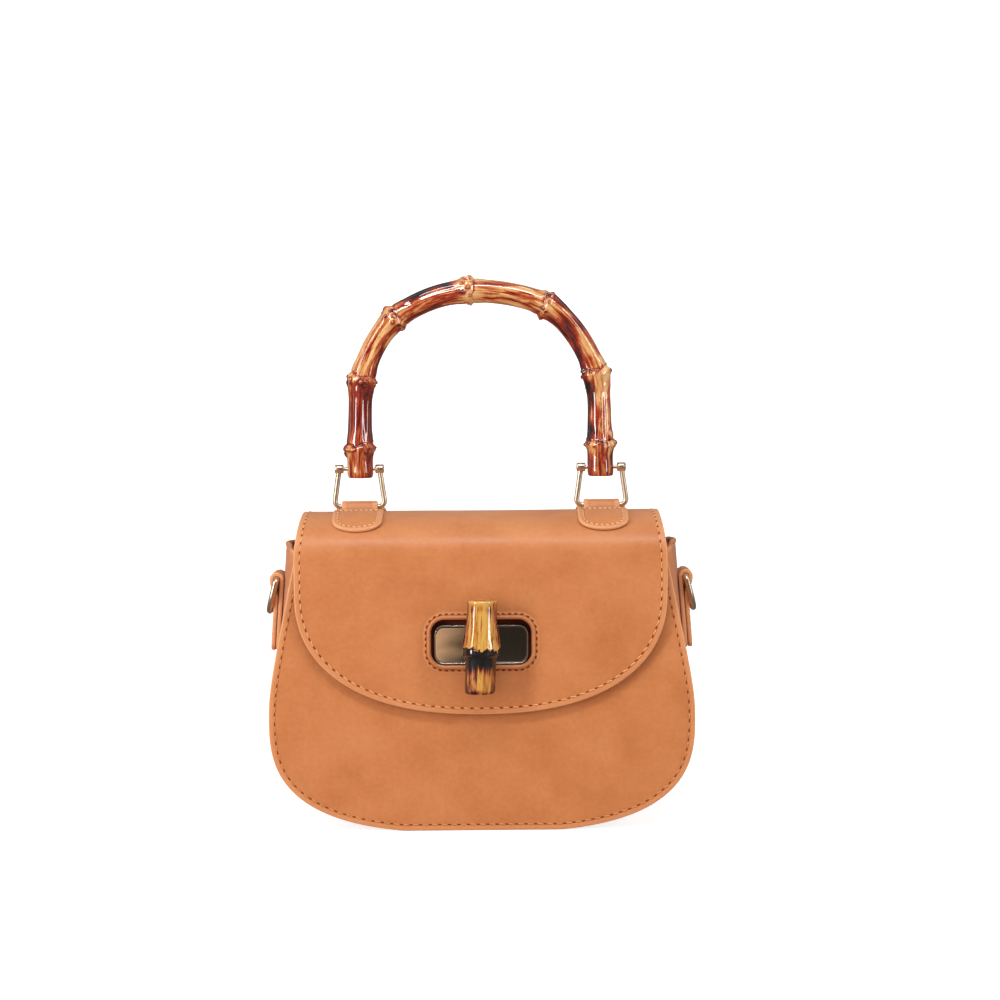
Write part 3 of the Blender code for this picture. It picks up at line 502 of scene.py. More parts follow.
def on_front(across, rise, reach):
    """Points on the front panel, at a reach outside its face."""
    across, rise, reach = np.broadcast_arrays(across, rise, reach)
    y = setback - half_base_depth + rise * math.sin(lean) - reach * math.cos(lean)
    z = rise * math.cos(lean) + reach * math.sin(lean)
    return np.stack([across, y, z], axis=-1)


def on_back(across, rise, reach):
    points = on_front(across, rise, reach)
    points[..., 1] = 2 * setback - points[..., 1]
    return points


def run_lengths(points):
    """The distance along a line at each of its points."""
    steps = np.linalg.norm(np.diff(points, axis=0), axis=1)
    return np.concatenate([[0], np.cumsum(steps)])


def arc(centre, radius, start, end, count):
    """Points on a circle in the plane, from one turn to another."""
    return [
        (centre[0] + radius * math.cos(turn), centre[1] + radius * math.sin(turn))
        for turn in np.linspace(start, end, count)
    ]


def superellipse(count, exponent):
    """The shares of its two half axes along a quarter of a superellipse."""
    turn = np.linspace(0, math.pi / 2, count)
    return np.sin(turn) ** (2 / exponent), np.cos(turn) ** (2 / exponent)


def with_mirror(half):
    """A whole outline from its right half, which runs from one end to the other."""
    return np.vstack([half, (half[::-1] * (-1, 1))[:-1]])


def bell(distance, width, power=2):
    """1 in the middle, falling to nothing over about two widths on each side."""
    return np.exp(-(np.abs(distance / width) ** power))


def beyond(distance, width):
    """0 before a place and 1 past it."""
    return 1 / (1 + np.exp(-np.clip(distance / width, -40, 40)))


def along_line(line, middle=0.0):
    """A place function for a strip bent along (y, z) points, lifted along their normals."""
    line = np.array(line, float)
    lengths = run_lengths(line)
    tangents = np.gradient(line, lengths, axis=0)
    tangents /= np.hypot(*tangents.T)[:, None]
    normals = np.stack([-tangents[:, 1], tangents[:, 0]], axis=1)

    def place(across, along, lift):
        across, along, lift = np.broadcast_arrays(across, along, lift)
        past = np.maximum(0, along - lengths[-1])
        y, z = (
            np.interp(along, lengths, line[:, axis])
            + np.interp(along, lengths, normals[:, axis]) * lift
            + tangents[-1, axis] * past
            for axis in (0, 1)
        )
        return np.stack([middle + across, y, z], axis=-1)

    return place, lengths[-1]


def respaced(points, pitch, closed=False):
    """The same line as evenly spaced points, about a pitch apart."""
    points = np.array(points, float)
    if closed:
        points = np.vstack([points, points[:1]])
    moved = np.linalg.norm(np.diff(points, axis=0), axis=1) > 1e-7
    points = points[np.concatenate([[True], moved])]
    lengths = run_lengths(points)
    count = max(2, round(lengths[-1] / pitch))
    wanted = np.linspace(0, lengths[-1], count + 1)
    if closed:
        wanted = wanted[:-1]
    return np.stack([np.interp(wanted, lengths, axis) for axis in points.T], axis=1)


def inset(outline, distance):
    """A closed outline moved inwards by a distance, mitred at its corners."""
    outline = np.array(outline, float)
    x, y = outline.T
    sign = math.copysign(1, np.sum(x * np.roll(y, -1) - np.roll(x, -1) * y))
    ahead = np.roll(outline, -1, axis=0) - outline
    ahead /= np.maximum(np.linalg.norm(ahead, axis=1), 1e-12)[:, None]
    normal = sign * np.stack([-ahead[:, 1], ahead[:, 0]], axis=1)
    before = np.roll(normal, 1, axis=0)
    scale = 1 + np.sum(normal * before, axis=1)
    return outline + (normal + before) / scale[:, None] * distance


def distance_to(points, outline):
    """Each point's distance to a closed outline, and whether it lies inside."""
    starts = np.array(outline, float)
    points = np.array(points, float)
    best = np.full(len(points), 1e9)
    inside = np.zeros(len(points), bool)
    for start, end in zip(starts, np.roll(starts, -1, axis=0)):
        run = end - start
        size = run @ run
        offset = points - start
        share = np.clip(offset @ run / size, 0, 1) if size else 0
        best = np.minimum(best, np.hypot(*(offset - np.outer(share, run)).T))
        if run[1]:
            crossing = (points[:, 1] >= start[1]) != (points[:, 1] >= end[1])
            at = start[0] + offset[:, 1] / run[1] * run[0]
            inside ^= crossing & (points[:, 0] < at)
    return best, inside


def sewn_lift(edge, seam=seam_inset, press=seam_press, radius=edge_radius):
    """A leather edge's height: rounded over at the rim and pressed in along the stitching."""
    over = np.clip(1 - edge / radius, 0, 1)
    return -radius * (1 - np.sqrt(1 - over**2)) - press * bell(edge - seam, 0.00055)


def plain_lift(edge, across, along):
    return sewn_lift(edge)


def leather_sheet(name, outline, place, thickness, reach, holes=(), pitch=0.003,
                  rings=edge_rings, lift=plain_lift):
    """A sheet with round pressed edges: rings that follow its outline and a filled middle.

    The sheet's face lies at the reach, and its back lies a thickness under it.
    """
    points, edges = [], []
    borders = [(outline, 1)] + [(hole, -1) for hole in holes]
    for border, side in borders:
        for distance in rings:
            start, count = len(points), len(border)
            points.extend(map(tuple, inset(border, side * distance)))
            edges.extend((start + step, start + (step + 1) % count) for step in range(count))
    axes = [
        np.linspace(low, high, max(2, math.ceil((high - low) / pitch)))
        for low, high in zip(np.min(outline, axis=0), np.max(outline, axis=0))
    ]
    grid = np.stack(np.meshgrid(*axes), axis=-1).reshape(-1, 2)
    margin = rings[-1] + pitch * 0.45
    keep = np.ones(len(grid), bool)
    for border, side in borders:
        gap, inside = distance_to(grid, border)
        keep &= (gap > margin) & (inside == (side > 0))
    points.extend(map(tuple, grid[keep]))
    made = delaunay_2d_cdt([Vector(point) for point in points], edges, [], 0, 1e-6)
    flat = np.array([tuple(point) for point in made[0]])
    faces = np.array(made[2])
    centres = flat[faces].mean(axis=1)
    keep = np.ones(len(faces), bool)
    edge = np.full(len(flat), 1e9)
    for border, side in borders:
        keep &= distance_to(centres, border)[1] == (side > 0)
        edge = np.minimum(edge, distance_to(flat, border)[0])
    edge[edge < 2e-6] = 0
    face_points = place(*flat.T, reach + lift(edge, *flat.T))
    back = sewn_lift(edge, press=0.0, radius=thickness * 0.3)
    back_points = place(*flat.T, reach - thickness - back)
    faces = faces[keep].tolist()
    seen = dict.fromkeys(pair for face in faces for pair in zip(face, face[1:] + face[:1]))
    count = len(flat)
    walls = [[b, a, a + count, b + count] for a, b in seen if (b, a) not in seen]
    under = [[corner + count for corner in reversed(face)] for face in faces]
    values = {
        "edge": np.concatenate([edge, edge]),
        "flat": np.vstack([np.insert(flat, 2, depth, axis=1) for depth in (0, back_pattern_shift)]),
    }
    return mesh_piece(name, np.vstack([face_points, back_points]), faces + under + walls, values)


def oval(centre, first, second, sides):
    """Points round an ellipse with these two half axes."""
    turns = [2 * math.pi * corner / sides for corner in range(sides)]
    return [centre + first * math.cos(turn) + second * math.sin(turn) for turn in turns]


def ring_faces(starts, count, caps=(0, -1), closed=False):
    """Quads between rings of points that start at these numbers, and caps on some rings."""
    pairs = list(zip(starts, starts[1:]))
    if closed:
        pairs.append((starts[-1], starts[0]))
    faces = [
        (a + step, a + (step + 1) % count, b + (step + 1) % count, b + step)
        for a, b in pairs for step in range(count)
    ]
    return faces + [tuple(range(starts[cap], starts[cap] + count)) for cap in caps]


def grid_faces(rows, columns, start=0):
    """Quads over rows of points."""
    return [
        (corner, corner + 1, corner + columns + 1, corner + columns)
        for row in range(rows - 1)
        for corner in range(start + row * columns, start + (row + 1) * columns - 1)
    ]


def stitch_row(name, path, place, reach, rides, pitch=stitch_pitch, closed=False,
               radius=thread_radius, spool=thread, gap=0.3):
    """Saddle stitches along a path: humped threads that dive into needle holes, whose shade is
    painted on dark ovals.
    """
    spots = respaced(path, pitch, closed)
    middle, above = (
        [Vector(point) for point in place(*spots.T, lift)] for lift in (reach, reach + 0.001)
    )
    count = len(spots) if closed else len(spots) - 1
    sides = 8
    slant = 0.10
    threads, thread_faces, holes, hole_faces = [], [], [], []
    hole_length, hole_width = min(radius * 2.9, gap * pitch), radius * 1.45
    for start, over, end in list(zip(middle, above, middle[1:] + middle[:1]))[:count]:
        run = end - start
        ahead = run.normalized()
        up = (over - start).normalized()
        side = ahead.cross(up).normalized()
        first = len(threads)
        for share in np.linspace(0, 1, 7):
            from_middle = abs(2 * share - 1)
            hump = radius * (1.15 * (1 - from_middle**4) - 0.90)
            centre = start + run * (gap / 2 + (1 - gap) * share) + up * hump
            centre += side * (share - 0.5) * slant * run.length
            thick = radius * (1 - 0.35 * from_middle**3)
            threads += oval(centre, side * thick, up * thick, sides)
        thread_faces += ring_faces(range(first, len(threads), sides), sides)
        # Each hole is a flat dark oval that paints the shade inside the needle hole
        first = len(holes)
        for wide, deep in ((1.0, 0.02), (0.55, 0.10)):
            centre = start + up * (0.00003 + deep * radius)
            holes += oval(centre, ahead * hole_length * wide, side * hole_width * wide, sides)
        hole_faces += ring_faces((first, first + sides), sides, caps=(-1,))
    made = mesh_piece(name, threads, thread_faces)
    dress(made, spool, rides)
    made = mesh_piece(name + "_painted_hole_shade", holes, hole_faces)
    dress(made, soft_hole_shade if spool is pale_thread else needle_hole_shade, rides)


def tube_piece(name, path, radii, sides=20, closed=False, up=(0, 1, 0)):
    """A round wire along points."""
    path = [Vector(point) for point in path]
    count = len(path)
    radii = np.broadcast_to(radii, count)
    points = []
    normal = Vector(up)
    for index, here in enumerate(path):
        before = path[index - 1] if closed or index else here
        after = path[(index + 1) % count] if closed or index < count - 1 else here
        ahead = (after - before).normalized()
        normal = (normal - ahead * normal.dot(ahead)).normalized()
        side = ahead.cross(normal)
        points += oval(here, normal * radii[index], side * radii[index], sides)
    starts = range(0, len(points), sides)
    return mesh_piece(name, points, ring_faces(starts, sides, () if closed else (0, -1), closed))


def turned_piece(name, centre, half_profile, sides=20):
    """A turned piece along X, from (place, radius) pairs of one half and its mirror."""
    profile = [(-at, radius) for at, radius in half_profile] + half_profile[::-1]
    path = [Vector(centre) + Vector((at, 0, 0)) for at, _ in profile]
    return tube_piece(name, path, [radius for _, radius in profile], sides)


def rounded_rectangle(size, corner, grow=0.0, centre=(0.0, 0.0), steps=8):
    """A rectangle's outline with round corners, grown by a margin, counterclockwise."""
    half_x, half_y = size[0] / 2 - corner, size[1] / 2 - corner
    points = []
    for quarter, (side, rise) in enumerate(((1, 1), (-1, 1), (-1, -1), (1, -1))):
        middle = (centre[0] + side * half_x, centre[1] + rise * half_y)
        start = math.pi / 2 * quarter
        points += arc(middle, corner + grow, start, start + math.pi / 2, steps + 1)
    return np.array(points)


def rounded_path(corners, radius, closed=False, steps=8):
    """A line through corners, each turned with an arc of this radius."""
    count = len(corners)
    points = []
    for index, corner in enumerate(corners):
        here = Vector(corner)
        if not closed and index in (0, count - 1):
            points.append(here)
            continue
        back = (Vector(corners[index - 1]) - here).normalized()
        ahead = (Vector(corners[(index + 1) % count]) - here).normalized()
        half = back.angle(ahead) / 2
        centre = here + (back + ahead).normalized() * radius / math.sin(half)
        start = here + back * radius / math.tan(half) - centre
        end = here + ahead * radius / math.tan(half) - centre
        whole = math.pi - 2 * half
        for step in range(steps + 1):
            share = step / steps
            first = math.sin((1 - share) * whole) / math.sin(whole)
            second = math.sin(share * whole) / math.sin(whole)
            points.append(centre + start * first + end * second)
    return points


def stacked(name, rings, place, cap=True):
    """A plate from outlines at rising reaches: (outline, reach) pairs."""
    count = len(rings[0][0])
    points = np.vstack([place(*outline.T, reach) for outline, reach in rings])
    starts = range(0, len(points), count)
    faces = ring_faces(starts, count, (0, -1) if cap else (), closed=not cap)
    return mesh_piece(name, points, faces)


# Bag body


def body_side(pitch, floor=stand_floor):
    """The right half of the body's outline, from the middle of the base to the top corner."""
    across, down = superellipse(300, belly_exponent)
    belly = [body_half_width * across, np.maximum(floor, belly_height - belly_drop * down)]
    above = np.linspace(0, panel_height - belly_height, 100)[1:]
    narrowing = np.hypot(side_ease, side_slope_share * above) - side_ease
    straight = [body_half_width - narrowing, belly_height + above]
    return respaced(np.hstack([belly, straight]).T, pitch)


def body_outline(pitch):
    """The panel's whole outline, flat where the bag stands."""
    return with_mirror(body_side(pitch))


def open_seam(outline, top):
    """The line of stitches inside an outline, left open above a height."""
    seam = inset(outline, seam_inset)
    seam = np.roll(seam, -int(np.argmax(seam[:, 1] >= top)), axis=0)
    return seam[seam[:, 1] < top]


for name, place in (("front", on_front), ("back", on_back)):
    piece = leather_sheet(
        name + "_panel_leather", body_outline(0.0022), place, panel_thickness, 0.0, pitch=0.006
    )
    dress(piece, leather, "body", [name + "_panel"])
    seam = open_seam(body_outline(0.001), panel_height - 0.004)
    stitch_row(name + "_panel_stitches", seam, place, -seam_press, "body")


def bulge_share(height):
    return np.maximum(0.0, (height - gusset_bulge_start) / (panel_height - gusset_bulge_start))


def eased(share):
    """A share from 0 to 1 with a soft start and end."""
    return share * share * (3 - 2 * share)


def gusset_points(side_line, walls, thickness_share):
    """Rows of the gusset's surface from front to back, at a share of its thickness outwards."""
    across = np.gradient(side_line, axis=0)
    across /= np.hypot(*across.T)[:, None]
    normals = np.stack([across[:, 1], -across[:, 0]], axis=1)
    normals[0] = (0, -1)
    out = gusset_thickness * thickness_share
    depth = panel_thickness + seat_gap + gusset_thickness / 2
    rows = []
    for (x, rise), (nx, nz) in zip(side_line, normals):
        share = bulge_share(rise)
        row = []
        for wall in walls:
            swell = (4 * wall * (1 - wall)) ** 0.55
            turn_in = eased(min(1.0, min(wall, 1 - wall) / 0.035))
            move = seat_gap + (seam_flange - seat_gap) * turn_in - gusset_bulge * share * swell
            y, z = on_front(0, rise - nz * move, -depth - out * (1 - turn_in))[1:]
            wrinkle = 0.0007 * share * math.sin(5.5 * math.pi * wall) * swell
            z += gusset_peak * share**3 * swell + nz * out * turn_in
            px = max(0, x - nx * move) + nx * (out * turn_in + wrinkle)
            row.append((px, setback + (y - setback) * (1 - 2 * wall), z))
        rows.append(row)
    return rows


def flat_leather(piece):
    """Gives a small leather piece the values its finish reads: its own places and no edge."""
    spots = np.array([vertex.co for vertex in piece.data.vertices], np.float32)
    flat = piece.data.attributes.new("flat", "FLOAT_VECTOR", "POINT")
    flat.data.foreach_set("vector", spots.ravel())
    edge = piece.data.attributes.new("edge", "FLOAT", "POINT")
    edge.data.foreach_set("value", np.full(len(spots), far_from_edge, np.float32))


def gusset_wall():
    """The gusset's leather, turned in at both long sides where it is sewn to the panels."""
    line = body_side(0.0025, 0.0)
    walls = np.concatenate([[0, 0.008, 0.018, 0.028, 0.04], np.linspace(0.08, 0.92, 23)])
    walls = np.concatenate([walls, 1 - walls[4::-1]])
    columns = len(walls)
    points, flats, edges = [], [], []
    for layer in (0.5, -0.5):
        half = np.array(gusset_points(line, walls, layer))
        whole = np.vstack([half[:0:-1] * (-1, 1, 1), half])
        run = run_lengths(whole[:, columns // 2])
        points.extend(whole.reshape(-1, 3))
        for at in run:
            flats.extend((at, wall * gusset_pattern_width, 0.03 * layer) for wall in walls)
            edges.extend([max(0.0, min(at, run[-1] - at))] * columns)
    rows = len(whole)
    second = rows * columns
    numbers = np.arange(second).reshape(rows, columns)
    rim = [numbers[0], numbers[1:, -1], numbers[-1, -2::-1], numbers[-2:0:-1, 0]]
    rim = np.concatenate(rim).tolist()
    faces = grid_faces(rows, columns) + grid_faces(rows, columns, second)
    faces += [(a, b, b + second, a + second) for a, b in zip(rim, rim[1:] + rim[:1])]
    piece = mesh_piece("gusset_leather", points, faces, {"flat": flats, "edge": edges}, 60)
    dress(piece, leather, "body", ["gusset"])
    return line


def gusset_ends(line):
    """The gusset's two top ends: a rolled rim, and a fold that closes the way in beside it."""
    columns, rows = 30, 9
    top = np.array(gusset_points(line[-2:], np.linspace(0.07, 0.93, columns), 0))[-1]
    taper = np.sin(np.linspace(0.12, math.pi - 0.12, columns)) ** 0.5
    fold = []
    for share in np.linspace(0, 1, rows):
        inner = top.copy()
        inner[:, 0] += (top[0, 0] - 0.0040 - top[:, 0]) * share
        inner[:, 2] -= 0.0008 + 0.0030 * share + 0.0022 * math.sin(math.pi * share)
        fold.append(inner)
    fold = np.vstack(fold)
    for name, side in both_sides:
        mirror = (side, 1, 1)
        rim = tube_piece("gusset_rim_" + name, top * mirror, gusset_rim_radius * taper, 16)
        folded = mesh_piece("gusset_fold_" + name, fold * mirror, grid_faces(rows, columns))
        for piece in (rim, folded):
            flat_leather(piece)
            dress(piece, leather, "body")


gusset_ends(gusset_wall())


def lining_rows(line, shift):
    """Loops of the lining, moved outwards by a shift."""
    rows = []
    along = np.linspace(-1, 1, 25)
    depth = inner_depth + lining_thickness / 2 - shift
    for x, rise in line:
        y, z = on_front(0, rise, -depth)[1:]
        half = setback - y
        ease = lining_corner_share * half * np.abs(along) ** 6
        right = x + shift - ease + gusset_bulge * bulge_share(rise) * (1 - along**2)
        loop = [(px, setback + half * place, z) for px, place in zip(right, -along)]
        rows.append(loop + [(-px, py, pz) for px, py, pz in reversed(loop)])
    return rows


def lining_piece():
    """The cloth bag inside: two layers joined round the top."""
    line = inset(body_outline(0.003), lining_inset + lining_thickness / 2)
    half = line[: len(line) // 2 + 1]
    half = half[half[:, 0] > 0.002]
    top = panel_height - lining_below_top
    half = half[half[:, 1] < top]
    half = np.vstack([half, (half[-1, 0], top)])
    flat_part = np.argmax(half[:, 1] > half[0, 1] + 1e-5)
    half = half[max(0, flat_part - 1):]
    points, faces, flats = [], [], []
    for shift in (0.5, -0.5):
        rows = lining_rows(half, shift * lining_thickness)
        start, count = len(points), len(rows[0])
        for level, row in enumerate(rows):
            points += row
            flats += [(column * 0.006, level * 0.003, shift * 0.01) for column in range(count)]
        faces += ring_faces(range(start, len(points), count), count, caps=(0,))
    faces += ring_faces((start - count, len(points) - count), count, caps=())
    piece = mesh_piece("bag_lining", points, faces, {"flat": flats})
    dress(piece, lining_cloth, "body", ["lining"])


lining_piece()

pocket = {"half_width": 0.052, "low": 0.040, "height": 0.070, "slack": 0.0030}


def pocket_place(across, rise, reach):
    """Points of the slip pocket on the back wall, which hangs open a little at the top."""
    up = np.clip((rise - pocket["low"]) / pocket["height"], 0, 1)
    share = np.clip(across / pocket["half_width"], -1, 1)
    slack = pocket["slack"] * (1 - share**2) * np.sin(math.pi / 2 * up)
    return on_back(across, rise, -(backing_depth + slack + reach))


pocket_corners = [
    (side * pocket["half_width"], pocket["low"] + share * pocket["height"])
    for side, share in ((-1, 0), (1, 0), (1, 1), (-1, 1))
]
piece = leather_sheet(
    "pocket_cloth", respaced(pocket_corners, 0.004, True), pocket_place, 0.0006, 0.0006,
    pitch=0.005, rings=(0.0, 0.0002, 0.0030, 0.0034),
)
dress(piece, lining_cloth, "body", ["inner_pocket"])


# Flap


def shoulder_shape():
    """The flap's half depth at its shoulders, and the turn where its arch leaves the front."""
    half_depth = half_base_depth
    for _ in range(6):
        turn = math.atan(shoulder_drop / half_depth * math.tan(lean))
        height = crest_height - shoulder_drop * (1 - math.sin(turn))
        front = half_base_depth + flap_reach / math.cos(lean) - height * math.tan(lean)
        half_depth = front / math.cos(turn)
    return half_depth, turn


def crest_line(reach):
    """(y, z) points from the front shoulder to the crest, at a reach outside the panels."""
    half_depth, low_turn = shoulder_shape()
    points = []
    for turn in np.linspace(low_turn, math.pi / 2, 37):
        run, rise = -shoulder_drop * math.cos(turn), half_depth * math.sin(turn)
        inward = (flap_reach - reach) / math.hypot(run, rise)
        y = -half_depth * math.cos(turn) - run * inward
        z = crest_height - shoulder_drop * (1 - math.sin(turn)) - rise * inward
        points.append((y, z))
    return points


def flap_line(reach):
    """(y, z) points round the bag at a reach, from the front's foot to the flap's back end."""
    crest = crest_line(reach)
    back = [(-y, z) for y, z in reversed(crest[:-1])]
    foot = on_front(0, 0, reach)[1:] - (setback, 0)
    end = on_front(0, flap_back_height, reach)[1:] - (setback, 0)
    straight = np.linspace(foot, crest[0], 30)[:-1]
    tail = np.linspace(back[-1], (-end[0], end[1]), 4)[1:]
    line = [*map(tuple, straight), *crest, *back, *map(tuple, tail)]
    return [(y + setback, z) for y, z in line]


over_bag, flap_length = along_line(flap_line(flap_reach))


def flap_outline(margin, end, place):
    """The flap laid flat: a round tip, straight sides and a slightly narrower crest."""
    across, down = superellipse(60, flap_exponent)
    x = (flap_half_width - margin) * across
    y = flap_tip_height + flap_round_height - (flap_round_height - margin) * down
    along = np.linspace(y[-1], end, 80)[1:]
    spots = place(0, along, 0)
    rise = (spots[:, 1] - setback + half_base_depth) * math.sin(lean) + spots[:, 2] * math.cos(lean)
    narrowing = flap_crest_narrowing * np.clip((rise - panel_height) / shoulder_drop, 0, 1)
    sides = np.stack([flap_half_width - margin - narrowing, along], axis=1)
    return with_mirror(respaced([*zip(x, y), *sides], 0.0022))


def flap_lift(edge, across, along):
    """The flap's face: sewn edges and slight hand-made waves, which leave the lock flat."""
    lock = bell(across, 0.05) * bell(along - 0.1, 0.04)
    wave = 0.00012 * np.sin(across * 70 + 1) * np.sin(along * 55)
    return sewn_lift(edge) + np.clip(edge / 0.012, 0, 1) * wave * (1 - lock)


def slot_outline(grow, steps=8):
    return rounded_rectangle(slot_size, slot_corner, grow, (0, slot_height), steps)


def flap_pieces():
    """The flap's face, its two rows of stitches and its suede lining."""
    outline = flap_outline(0, flap_length, over_bag)
    face = leather_sheet(
        "flap_leather_face", outline, over_bag, leather_thickness, 0.0,
        [slot_outline(slot_ease)], 0.0035, lift=flap_lift,
    )
    dress(face, leather, hinge, ["flap_leather"])
    top = flap_length - flap_seam_from_end
    seam = open_seam(outline, top)
    stitch_row("flap_stitches", seam, over_bag, -seam_press, hinge, flap_pitch, spool=flap_thread)
    reach = flap_half_width - seam_inset
    end_seam = [(-reach, top), (reach, top)]
    stitch_row("flap_end_stitches", end_seam, over_bag, -0.00005, hinge, flap_pitch)
    place, length = along_line(flap_line(flap_inner_reach + flap_lining_thickness))
    outline = flap_outline(flap_lining_inset, length, place)
    under = leather_sheet(
        "flap_suede_lining", outline, place, flap_lining_thickness, 0.0,
        [slot_outline(slot_ease)], 0.005, rings=(0.0, 0.0003, 0.0030, 0.0040),
    )
    dress(under, suede, hinge, ["flap_lining"])


flap_pieces()

rim_shape = (
    (0.0001, 0.0005), (0.0, 0.0009), (0.0, 0.0040), (0.00025, 0.0046), (0.0007, 0.0050),
    (0.0011, 0.0051), (0.0015, 0.0050), (0.0019, 0.0047), (0.0021, 0.0042),
    (0.0021, 0.0037), (0.0009, 0.0035), (0.0009, 0.0006),
)
wall_shape = ((0.0002, 0.0007), (-0.00008, 0.0009), (-0.00008, 0.0041), (0.0001, 0.0043))
# Growths and reaches of a dark sheet that paints the shade round the lock plate
plate_shade_shape = ((0.0006, 0.00004), (0.0005, 0.00014), (0.0003, 0.00018))


def slot_piece(name, shape, steps, cap):
    """A piece that follows the slot, from (growth of its outline, reach) pairs."""
    return stacked(name, [(slot_outline(grow, steps), reach) for grow, reach in shape], on_front, cap)


piece = slot_piece("slot_rim_leather", rim_shape, 12, cap=False)
flat_leather(piece)
dress(piece, leather, "flap", ["slot_trim"])
# Painted shade: the slot's inner wall is coloured dark for the shade inside the slot
piece = slot_piece("slot_wall_painted_shade", wall_shape, 12, cap=False)
dress(piece, painted_shade_brown, "flap")
stitch_row("slot_stitches", slot_outline(trim_width, 12), over_bag, 0.00004, "flap", slot_pitch,
           True, radius=slot_thread_radius, gap=0.42)


# Lock


def plate_outline(grow):
    return rounded_rectangle(plate_size, plate_corner, grow, (0, plate_height), 14)


plate_shape = (
    (0, seat_gap), (0, 0.0014), (-0.00010, 0.0018), (-0.00030, 0.0022), (-0.0006, 0.00242),
    (-0.0009, 0.00249), (-0.0011, plate_top), (-0.0013, plate_top), (-0.0015, plate_top),
    (-0.0030, plate_top),
)
plate_rings = [(plate_outline(grow), reach) for grow, reach in plate_shape]
piece = stacked("lock_plate_face", plate_rings, on_front)
dress(piece, polished, "body", ["lock_plate"])
# Painted shade: a dark sheet on the panel round the lock plate, for the shade the flap casts there
piece = slot_piece("plate_surround_painted_shade", plate_shade_shape, 8, cap=True)
dress(piece, painted_shade_brown, "body")
# Painted highlight: a thin pale tube along the plate's bevelled edge
bevel = on_front(*plate_outline(-0.00025).T, 0.00222)
piece = tube_piece("lock_plate_bevel", bevel, 0.00032, 12, True)
dress(piece, bevel_highlight_gilt, "body")
foot_sides = [(side, up) for up in (1, -1) for side in (-1, 1)]
for number, (side, up) in enumerate(foot_sides):
    middle = (side * plate_foot_place[0], plate_height + up * plate_foot_place[1])
    foot = rounded_rectangle(plate_foot_size, 0.0008, 0, middle)
    rings = [(foot, -backing_depth - below) for below in (0.0013, 0.0024)]
    piece = stacked("plate_foot_%d" % number, rings, on_front)
    dress(piece, gilt, "body")


# Bamboo


def ring_wave(turn, seed, counts=(2, 3, 5, 7, 11)):
    """A smooth wobble round a cane, the same each run."""
    random = np.random.RandomState(seed)
    total = np.zeros_like(turn)
    for order, count in enumerate(counts):
        total += 0.75**order * np.sin(count * turn + random.uniform(0, 2 * math.pi))
    return total / 2


def teeth(turn, seed, count):
    """A jagged crown round a cane: pointed bract ends of uneven length, from 0 to 1."""
    heights = np.random.RandomState(seed).uniform(0.35, 1.0, count)
    phase = (turn / (2 * math.pi) * count) % count
    index = np.floor(phase).astype(int) % count
    inside = phase - np.floor(phase)
    return heights[index] * (1 - np.abs(2 * inside - 1)) ** 0.8


def angle_gap(turn, at, whole=2 * math.pi):
    """How far a turn is from another one, the shorter way round."""
    return (turn - at + whole / 2) % whole - whole / 2


def scars(along, turn, knot, seed, count):
    """Root scars: small raised knobs in an uneven ring at a knot."""
    random = np.random.RandomState(seed)
    lift = np.zeros_like(along)
    for number in range(count):
        at = 2 * math.pi * (number + random.uniform(-0.3, 0.3)) / count
        spot = knot + random.uniform(-0.0016, 0.0004)
        grow = random.uniform(0.55, 1.15)
        around = angle_gap(turn, at) * (handle_radius + 0.0015)
        near = np.hypot(around, along - spot)
        lift = np.maximum(lift, grow * scar_height * bell(near, 0.0013 * grow, 3))
    return lift


def stations_of(length, knots, fine, wide):
    """Places along a cane, closer together near its knots."""
    places = [0.0]
    while places[-1] < length:
        near = min(abs(places[-1] - knot) for knot in knots)
        places.append(places[-1] + (fine if near < 0.0055 else wide))
    places[-1] = length
    return np.array(places)


def cane_piece(name, centres, outwards, fronts, along, base, relief, stain, scar, end_stain):
    """A cane's skin from its middle line: each station has two directions across it."""
    sides = 72
    turn = np.linspace(0, 2 * math.pi, sides, endpoint=False)
    grid = np.meshgrid(along, turn, indexing="ij")
    cosine, sine = np.cos(grid[1])[..., None], np.sin(grid[1])[..., None]
    directions = cosine * outwards[:, None, :] + sine * fronts[:, None, :]
    skin = centres[:, None, :] + directions * relief(*grid)[..., None]
    cane = np.stack([base * np.cos(grid[1]), base * np.sin(grid[1]), grid[0]], axis=-1)
    points, canes = [skin.reshape(-1, 3)], [cane.reshape(-1, 3)]
    stains, scar_shares = [stain(*grid).ravel()], [scar(*grid).ravel()]
    size = len(along) * sides
    faces = ring_faces(range(0, size, sides), sides, caps=())
    for row, way in ((0, -1), (len(along) - 1, 1)):
        axis = np.cross(outwards[row], fronts[row]) * way
        axis = axis * math.copysign(1, float(axis @ (centres[row] - centres[row - way])))
        starts = [row * sides]
        for share, push, tone in ((0.93, 0.0002, 0.05), (0.80, 0.00012, 0.15), (0.45, -0.0001, 0.3)):
            starts.append(size)
            size += sides
            points.append(centres[row] + (skin[row] - centres[row]) * share + axis * push)
            canes.append(cane[row] * (share, share, 1))
            stains.append(np.full(sides, end_stain + tone))
            scar_shares.append(np.zeros(sides))
        faces += ring_faces(starts, sides, caps=(-1,))
    data = {"cane": canes, "stain": stains, "scar": scar_shares}
    data = {key: np.concatenate(parts) for key, parts in data.items()}
    return mesh_piece(name, np.vstack(points), faces, data, 75)


def patch_sum(along, turn, patches):
    """Stains from (start, end, turn in degrees, half width in degrees, depth) patches."""
    total = np.zeros_like(along)
    for start, end, at, wide, depth in patches:
        inside = beyond(along - start, 0.0035) * beyond(end - along, 0.0035)
        drift = 7 * np.sin(along * 55 + at) + 4 * np.sin(along * 131 + 2 * at)
        gap = angle_gap(np.degrees(turn) + drift, at, 360)
        wave = 1 + 0.30 * np.sin(along * 83 + at)
        total += depth * inside * (bell(gap, wide * wave, 2.6) if wide < all_round else 1.0)
    return total


